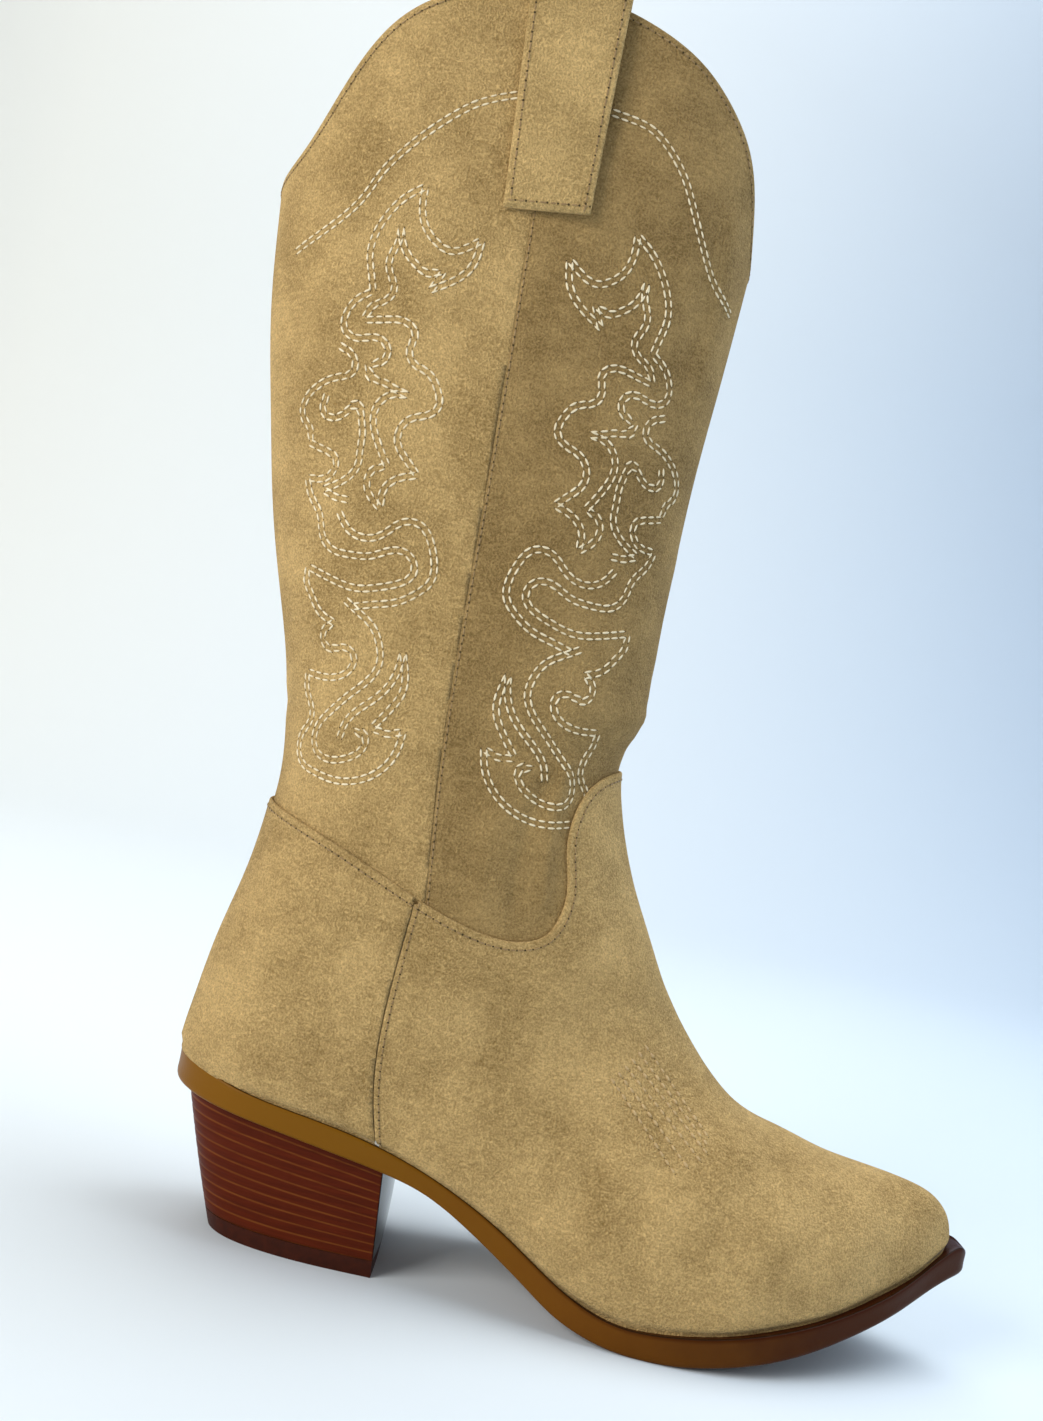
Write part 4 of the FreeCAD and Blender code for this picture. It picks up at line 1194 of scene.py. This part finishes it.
def rubber_edge(name):
    """Caramel rubber: colour runs along the boot by position and across the edge by depth."""
    made, tree, shader = surface(name, 0.42, specular=0.07)
    where = node(tree, "ShaderNodeTexCoord")
    parts = node(tree, "ShaderNodeSeparateXYZ")
    tree.links.new(where.outputs["Object"], parts.inputs[0])
    cloud = node(tree, "ShaderNodeTexNoise", _3=4.0, _4=0.6)
    cloud.inputs["Scale"].default_value = 60.0
    fine = node(tree, "ShaderNodeTexNoise", _3=3.0, _4=0.6)
    fine.inputs["Scale"].default_value = 900.0
    tree.links.new(where.outputs["Object"], cloud.inputs["Vector"])
    tree.links.new(where.outputs["Object"], fine.inputs["Vector"])
    shift = node(tree, "ShaderNodeMath", operation="MULTIPLY_ADD", _1=0.05)
    tree.links.new(cloud.outputs[0], shift.inputs[0])
    tree.links.new(parts.outputs[0], shift.inputs[2])
    along = node(tree, "ShaderNodeMapRange", _1=-0.04, _2=0.12)
    tree.links.new(shift.outputs[0], along.inputs[0])
    body = node(tree, "ShaderNodeValToRGB")
    stops = body.color_ramp.elements
    stops[0].position, stops[0].color = 0.0, (0.185, 0.075, 0.004, 1)
    stops[1].position, stops[1].color = 1.0, (0.05, 0.012, 0.0012, 1)
    middle = body.color_ramp.elements.new(0.5)
    middle.color = (0.15, 0.052, 0.003, 1)
    tree.links.new(along.outputs[0], body.inputs[0])
    down = node(tree, "ShaderNodeAttribute", attribute_name="down")
    # Darker towards the top of the edge, more so towards the ball and the toe.
    lip = node(tree, "ShaderNodeMapRange", _1=0.16, _2=0.03, _4=0.95)
    tree.links.new(down.outputs["Fac"], lip.inputs[0])
    top_edge_darkening = node(tree, "ShaderNodeMath", operation="MULTIPLY")
    tree.links.new(lip.outputs[0], top_edge_darkening.inputs[0])
    tree.links.new(along.outputs[0], top_edge_darkening.inputs[1])
    mixed = node(tree, "ShaderNodeMix", data_type="RGBA")
    mixed.inputs[7].default_value = (0.035, 0.006, 0.001, 1)
    tree.links.new(top_edge_darkening.outputs[0], mixed.inputs[0])
    tree.links.new(body.outputs[0], mixed.inputs[6])
    # Painted shade: the very top of the edge, in the gap under the upper, fades to near black. This dark line
    # also stands for the glue line.
    gap = node(tree, "ShaderNodeMapRange", _1=0.03, _2=0.0, _3=0.0, _4=0.9)
    shaded = node(tree, "ShaderNodeMix", data_type="RGBA")
    shaded.inputs[7].default_value = (0.012, 0.006, 0.002, 1)
    tree.links.new(down.outputs["Fac"], gap.inputs[0])
    tree.links.new(gap.outputs[0], shaded.inputs[0])
    tree.links.new(mixed.outputs[2], shaded.inputs[6])
    tree.links.new(shaded.outputs[2], shader.inputs["Base Color"])
    rough = node(tree, "ShaderNodeMapRange", _1=0.3, _2=0.7, _3=0.26, _4=0.46)
    tree.links.new(cloud.outputs[0], rough.inputs[0])
    tree.links.new(rough.outputs[0], shader.inputs["Roughness"])
    bump = node(tree, "ShaderNodeBump")
    bump.inputs["Strength"].default_value = 0.35
    bump.inputs["Distance"].default_value = 0.00015
    tree.links.new(fine.outputs[0], bump.inputs["Height"])
    tree.links.new(bump.outputs[0], shader.inputs["Normal"])
    return made


sole_rubber = rubber_edge("sole_rubber")
outsole = sole_mesh()
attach(outsole, "root")
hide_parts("outsole")


# ---------------------------------------------------------------- heel
# Moulded block in a wrapped cover that is embossed and printed to look like stacked leather lifts.
# The front face is left glossy black, and a rubber top piece is pinned and screwed underneath.
HEEL_LEVELS = [(0.0, -104.4, -46.2, 25.0), (16.0, -110.4, -47.6, 26.0), (56.0, -123.4, -51.2, 29.4)]
HEEL_POWER = 2.7
HEEL_LIFTS = 11
TOP_PIECE_HIGH = 5.5


def heel_side(height, turn, inset):
    """A point on the heel's outside at a height, from the outer front corner round the back."""
    levels = np.array(HEEL_LEVELS)
    back, front, half = (float(through(levels[:, 0], levels[:, k], np.array([height]))[0]) for k in (1, 2, 3))
    length = front - back - inset
    along = length * abs(math.sin(turn)) ** (2 / HEEL_POWER)
    return (front - along, -(half - inset) * signed_power(math.cos(turn), 2 / HEEL_POWER), height)


def heel_cover():
    """The wrapped cover: rows of lifts that run with the seat above and level out below."""
    rows, around = HEEL_LIFTS * 8, 90
    points, layer = [], []
    for row in range(rows + 1):
        share = row / rows
        lift = share * HEEL_LIFTS
        groove = 0.16 * math.exp(-((abs(lift - round(lift))) / 0.1) ** 2)
        for k in range(around + 1):
            turn = math.pi * (0.5 - 0.5 * math.cos(math.pi * k / around)) if k < around else math.pi
            x = heel_side(25.0, turn, 0.0)[0]
            for _ in range(3):
                height = TOP_PIECE_HIGH + (float(heights(tread_line, x)) - TOP_PIECE_HIGH) * share
                x, y, _z = heel_side(height, turn, groove)
            points.append((x, y, height))
            layer.append(lift)
    size = around + 1
    faces = [(r * size + k, r * size + k + 1, (r + 1) * size + k + 1, (r + 1) * size + k)
             for r in range(rows) for k in range(around)]
    made = mesh_object("heel_cover_stacked", points, faces, stacked_cover)
    mark = made.data.attributes.new("lift", "FLOAT", "POINT")
    mark.data.foreach_set("value", layer)
    outwards(made)
    middle = made.data.polygons[len(made.data.polygons) // 2]
    if middle.normal.x > 0:
        made.data.flip_normals()
    wall = made.modifiers.new("wall", "SOLIDIFY")
    wall.thickness = 1.0 * MM
    wall.offset = -1
    finish_modifiers(made)
    return made


def stacked_leather(name):
    """Red-brown lifts, each a little different, with paler glue lines between them."""
    made, tree, shader = surface(name, 0.45, specular=0.07)
    lift = node(tree, "ShaderNodeAttribute", attribute_name="lift")
    where = node(tree, "ShaderNodeTexCoord")
    streak_map = node(tree, "ShaderNodeMapping", _3=(60.0, 60.0, 900.0))
    tree.links.new(where.outputs["Object"], streak_map.inputs[0])
    streak = node(tree, "ShaderNodeTexNoise", _3=4.0, _4=0.65)
    streak.inputs["Scale"].default_value = 1.0
    tree.links.new(streak_map.outputs[0], streak.inputs["Vector"])
    body = node(tree, "ShaderNodeMix", data_type="RGBA")
    body.inputs[6].default_value = (0.04, 0.005, 0.001, 1)
    body.inputs[7].default_value = (0.125, 0.017, 0.003, 1)
    tree.links.new(streak.outputs[0], body.inputs[0])
    part = node(tree, "ShaderNodeMath", operation="PINGPONG", _1=0.5)
    tree.links.new(lift.outputs["Fac"], part.inputs[0])
    line = node(tree, "ShaderNodeMapRange", _1=0.13, _2=0.05)
    tree.links.new(part.outputs[0], line.inputs[0])
    worn = node(tree, "ShaderNodeMath", operation="MULTIPLY")
    broken = node(tree, "ShaderNodeMapRange", _1=0.32, _2=0.56, _3=0.35, _4=1.0)
    tree.links.new(streak.outputs[0], broken.inputs[0])
    tree.links.new(line.outputs[0], worn.inputs[0])
    tree.links.new(broken.outputs[0], worn.inputs[1])
    mixed = node(tree, "ShaderNodeMix", data_type="RGBA")
    mixed.inputs[7].default_value = (0.155, 0.042, 0.007, 1)
    tree.links.new(worn.outputs[0], mixed.inputs[0])
    tree.links.new(body.outputs[2], mixed.inputs[6])
    tree.links.new(mixed.outputs[2], shader.inputs["Base Color"])
    bump = node(tree, "ShaderNodeBump")
    bump.inputs["Strength"].default_value = 0.4
    bump.inputs["Distance"].default_value = 0.0002
    tree.links.new(streak.outputs[0], bump.inputs["Height"])
    tree.links.new(bump.outputs[0], shader.inputs["Normal"])
    return made


stacked_cover = stacked_leather("stacked_cover")
heel_wrap = heel_cover()
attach(heel_wrap, "root")
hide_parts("heel_wrap")


# ---------------------------------------------------------------- parts kept from the frame
# Linings, boards, foam, shank, nails and screws: each keeps its made shape and gets the finish of
# the real stuff, although most of them only show from above, from below or when taken apart.
def plain_stuff(name, light, dark, roughness, scale, relief, metallic=0.0, stretch=(1, 1, 1), specular=0.4):
    """A material with a two-tone grain and its relief."""
    made, tree, shader = surface(name, roughness, specular=specular)
    shader.inputs["Metallic"].default_value = metallic
    where = node(tree, "ShaderNodeTexCoord")
    turned = node(tree, "ShaderNodeMapping", _3=stretch)
    grain = node(tree, "ShaderNodeTexNoise", _3=5.0, _4=0.6)
    grain.inputs["Scale"].default_value = scale
    tree.links.new(where.outputs["Object"], turned.inputs[0])
    tree.links.new(turned.outputs[0], grain.inputs["Vector"])
    spread = node(tree, "ShaderNodeMapRange", _1=0.3, _2=0.7)
    tree.links.new(grain.outputs[0], spread.inputs[0])
    mixed = node(tree, "ShaderNodeMix", data_type="RGBA")
    mixed.inputs[6].default_value = dark
    mixed.inputs[7].default_value = light
    tree.links.new(spread.outputs[0], mixed.inputs[0])
    tree.links.new(mixed.outputs[2], shader.inputs["Base Color"])
    rough = node(tree, "ShaderNodeMapRange", _3=max(0.05, roughness - 0.08), _4=min(1.0, roughness + 0.08))
    tree.links.new(grain.outputs[0], rough.inputs[0])
    tree.links.new(rough.outputs[0], shader.inputs["Roughness"])
    bump = node(tree, "ShaderNodeBump")
    bump.inputs["Strength"].default_value = 0.5
    bump.inputs["Distance"].default_value = relief
    tree.links.new(grain.outputs[0], bump.inputs["Height"])
    tree.links.new(bump.outputs[0], shader.inputs["Normal"])
    return made


knit_lining = plain_stuff("brushed_lining", (0.62, 0.5, 0.33, 1), (0.44, 0.33, 0.2, 1), 0.9, 700.0, 0.0003)
sock_cloth = plain_stuff("sock_leatherette", (0.55, 0.42, 0.26, 1), (0.42, 0.3, 0.17, 1), 0.7, 450.0, 0.0003)
felt = plain_stuff("pressed_felt", (0.75, 0.72, 0.64, 1), (0.55, 0.52, 0.45, 1), 0.95, 260.0, 0.0004)
board = plain_stuff("fibre_board", (0.45, 0.33, 0.2, 1), (0.28, 0.19, 0.1, 1), 0.85, 520.0, 0.0003)
foam = plain_stuff("latex_foam", (0.85, 0.8, 0.66, 1), (0.7, 0.64, 0.5, 1), 0.9, 900.0, 0.0006)
steel = plain_stuff("spring_steel", (0.62, 0.63, 0.66, 1), (0.42, 0.43, 0.46, 1), 0.34, 300.0, 0.00005,
                    1.0, (1, 8, 8))
gloss_black = plain_stuff("heel_gloss_black", (0.02, 0.02, 0.022, 1), (0.008, 0.008, 0.009, 1),
                          0.14, 90.0, 0.00004, specular=0.5)
top_rubber = plain_stuff("top_piece_rubber", (0.055, 0.009, 0.002, 1), (0.03, 0.005, 0.001, 1),
                         0.5, 350.0, 0.0002, specular=0.15)
finishes = {
    knit_lining: ("shaft_lining_front", "shaft_lining_back", "vamp_lining", "quarter_lining"),
    sock_cloth: ("sock_lining",),
    felt: ("vamp_interlining", "bottom_filler"),
    board: ("counter_stiffener", "toe_puff", "insole_board"),
    foam: ("heel_pad",),
    steel: ("shank", "shank_rivets", "heel_screw", "heel_nails", "top_piece_pins"),
    gloss_black: ("heel_core",),
    top_rubber: ("heel_top_piece",),
}
for finish, names in finishes.items():
    for name in names:
        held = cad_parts[name].data.materials
        if not len(held):
            held.append(finish)
        for slot_number in range(len(held)):
            held[slot_number] = finish


# ---------------------------------------------------------------- floor, light and camera
# A pale seamless sweep, a big soft light from the left front, a cool fill from the right.
def sweep():
    """Pale floor that curves up into a pale wall far behind the boot."""
    profile = [(-3.0, 0.0), (0.9, 0.0)]
    profile += [(0.9 + 0.8 * math.sin(k * math.pi / 24), 0.8 - 0.8 * math.cos(k * math.pi / 24))
                for k in range(1, 13)]
    profile += [(1.7, 4.0)]
    points = [(x * 1000, y * 1000, z * 1000) for x in (-4.0, 4.0) for y, z in profile]
    size = len(profile)
    faces = [(k, size + k, size + k + 1, k + 1) for k in range(size - 1)]
    made = mesh_object("floor_sweep", points, faces, backdrop)


backdrop, backdrop_tree, backdrop_shader = surface("pale_backdrop", 0.9)
place = node(backdrop_tree, "ShaderNodeTexCoord")
axes = node(backdrop_tree, "ShaderNodeSeparateXYZ")
side_to_side = node(backdrop_tree, "ShaderNodeMapRange", _1=-0.9, _2=0.9)
tint = node(backdrop_tree, "ShaderNodeMix", data_type="RGBA")
tint.inputs[6].default_value = (0.93, 0.93, 0.87, 1)
tint.inputs[7].default_value = (0.5, 0.62, 0.76, 1)
backdrop_tree.links.new(place.outputs["Object"], axes.inputs[0])
backdrop_tree.links.new(axes.outputs[0], side_to_side.inputs[0])
backdrop_tree.links.new(side_to_side.outputs[0], tint.inputs[0])
backdrop_tree.links.new(tint.outputs[2], backdrop_shader.inputs["Base Color"])
sweep()


def soft_light(name, place, aim, power, size, colour):
    data = bpy.data.lights.new(name, "AREA")
    data.energy, data.size, data.color = power, size, colour
    lamp = bpy.data.objects.new(name, data)
    bpy.context.collection.objects.link(lamp)
    lamp.location = place
    lamp.rotation_euler = (Vector(aim) - Vector(place)).to_track_quat("-Z", "Y").to_euler()


soft_light("key", (-1.15, -0.95, 0.75), (-0.02, 0, 0.2), 20, 0.8, (1.0, 0.98, 0.95))
soft_light("fill", (1.2, -0.2, 0.5), (0, 0, 0.15), 3.5, 1.0, (0.8, 0.9, 1.0))
soft_light("top", (0.6, 0.1, 1.2), (0.08, 0, 0.08), 12, 1.0, (0.82, 0.91, 1.0))
soft_light("wall", (0.0, 0.7, 1.9), (0, 1.7, 0.4), 17, 1.6, (1.0, 1.0, 1.0))
world = bpy.data.worlds.new("studio")
world.use_nodes = True
world.node_tree.nodes["Background"].inputs[0].default_value = (0.86, 0.92, 1.0, 1)
world.node_tree.nodes["Background"].inputs[1].default_value = 0.26
bpy.context.scene.world = world
bpy.context.scene.view_settings.view_transform = "Standard"

CAMERA_ROLL = math.radians(12)
CAMERA_PLACE = (-0.0364, -0.476, 0.189)
roll_cos, roll_sin = math.cos(CAMERA_ROLL), math.sin(CAMERA_ROLL)
camera_data = bpy.data.cameras.new("camera")
camera_data.sensor_width = 36.0
camera_data.lens = 35.47
camera = bpy.data.objects.new("camera", camera_data)
bpy.context.collection.objects.link(camera)
camera.matrix_world = Matrix((
    (roll_cos, -roll_sin, 0, CAMERA_PLACE[0]), (0, 0, -1, CAMERA_PLACE[1]),
    (roll_sin, roll_cos, 0, CAMERA_PLACE[2]), (0, 0, 0, 1)))
bpy.context.scene.camera = camera
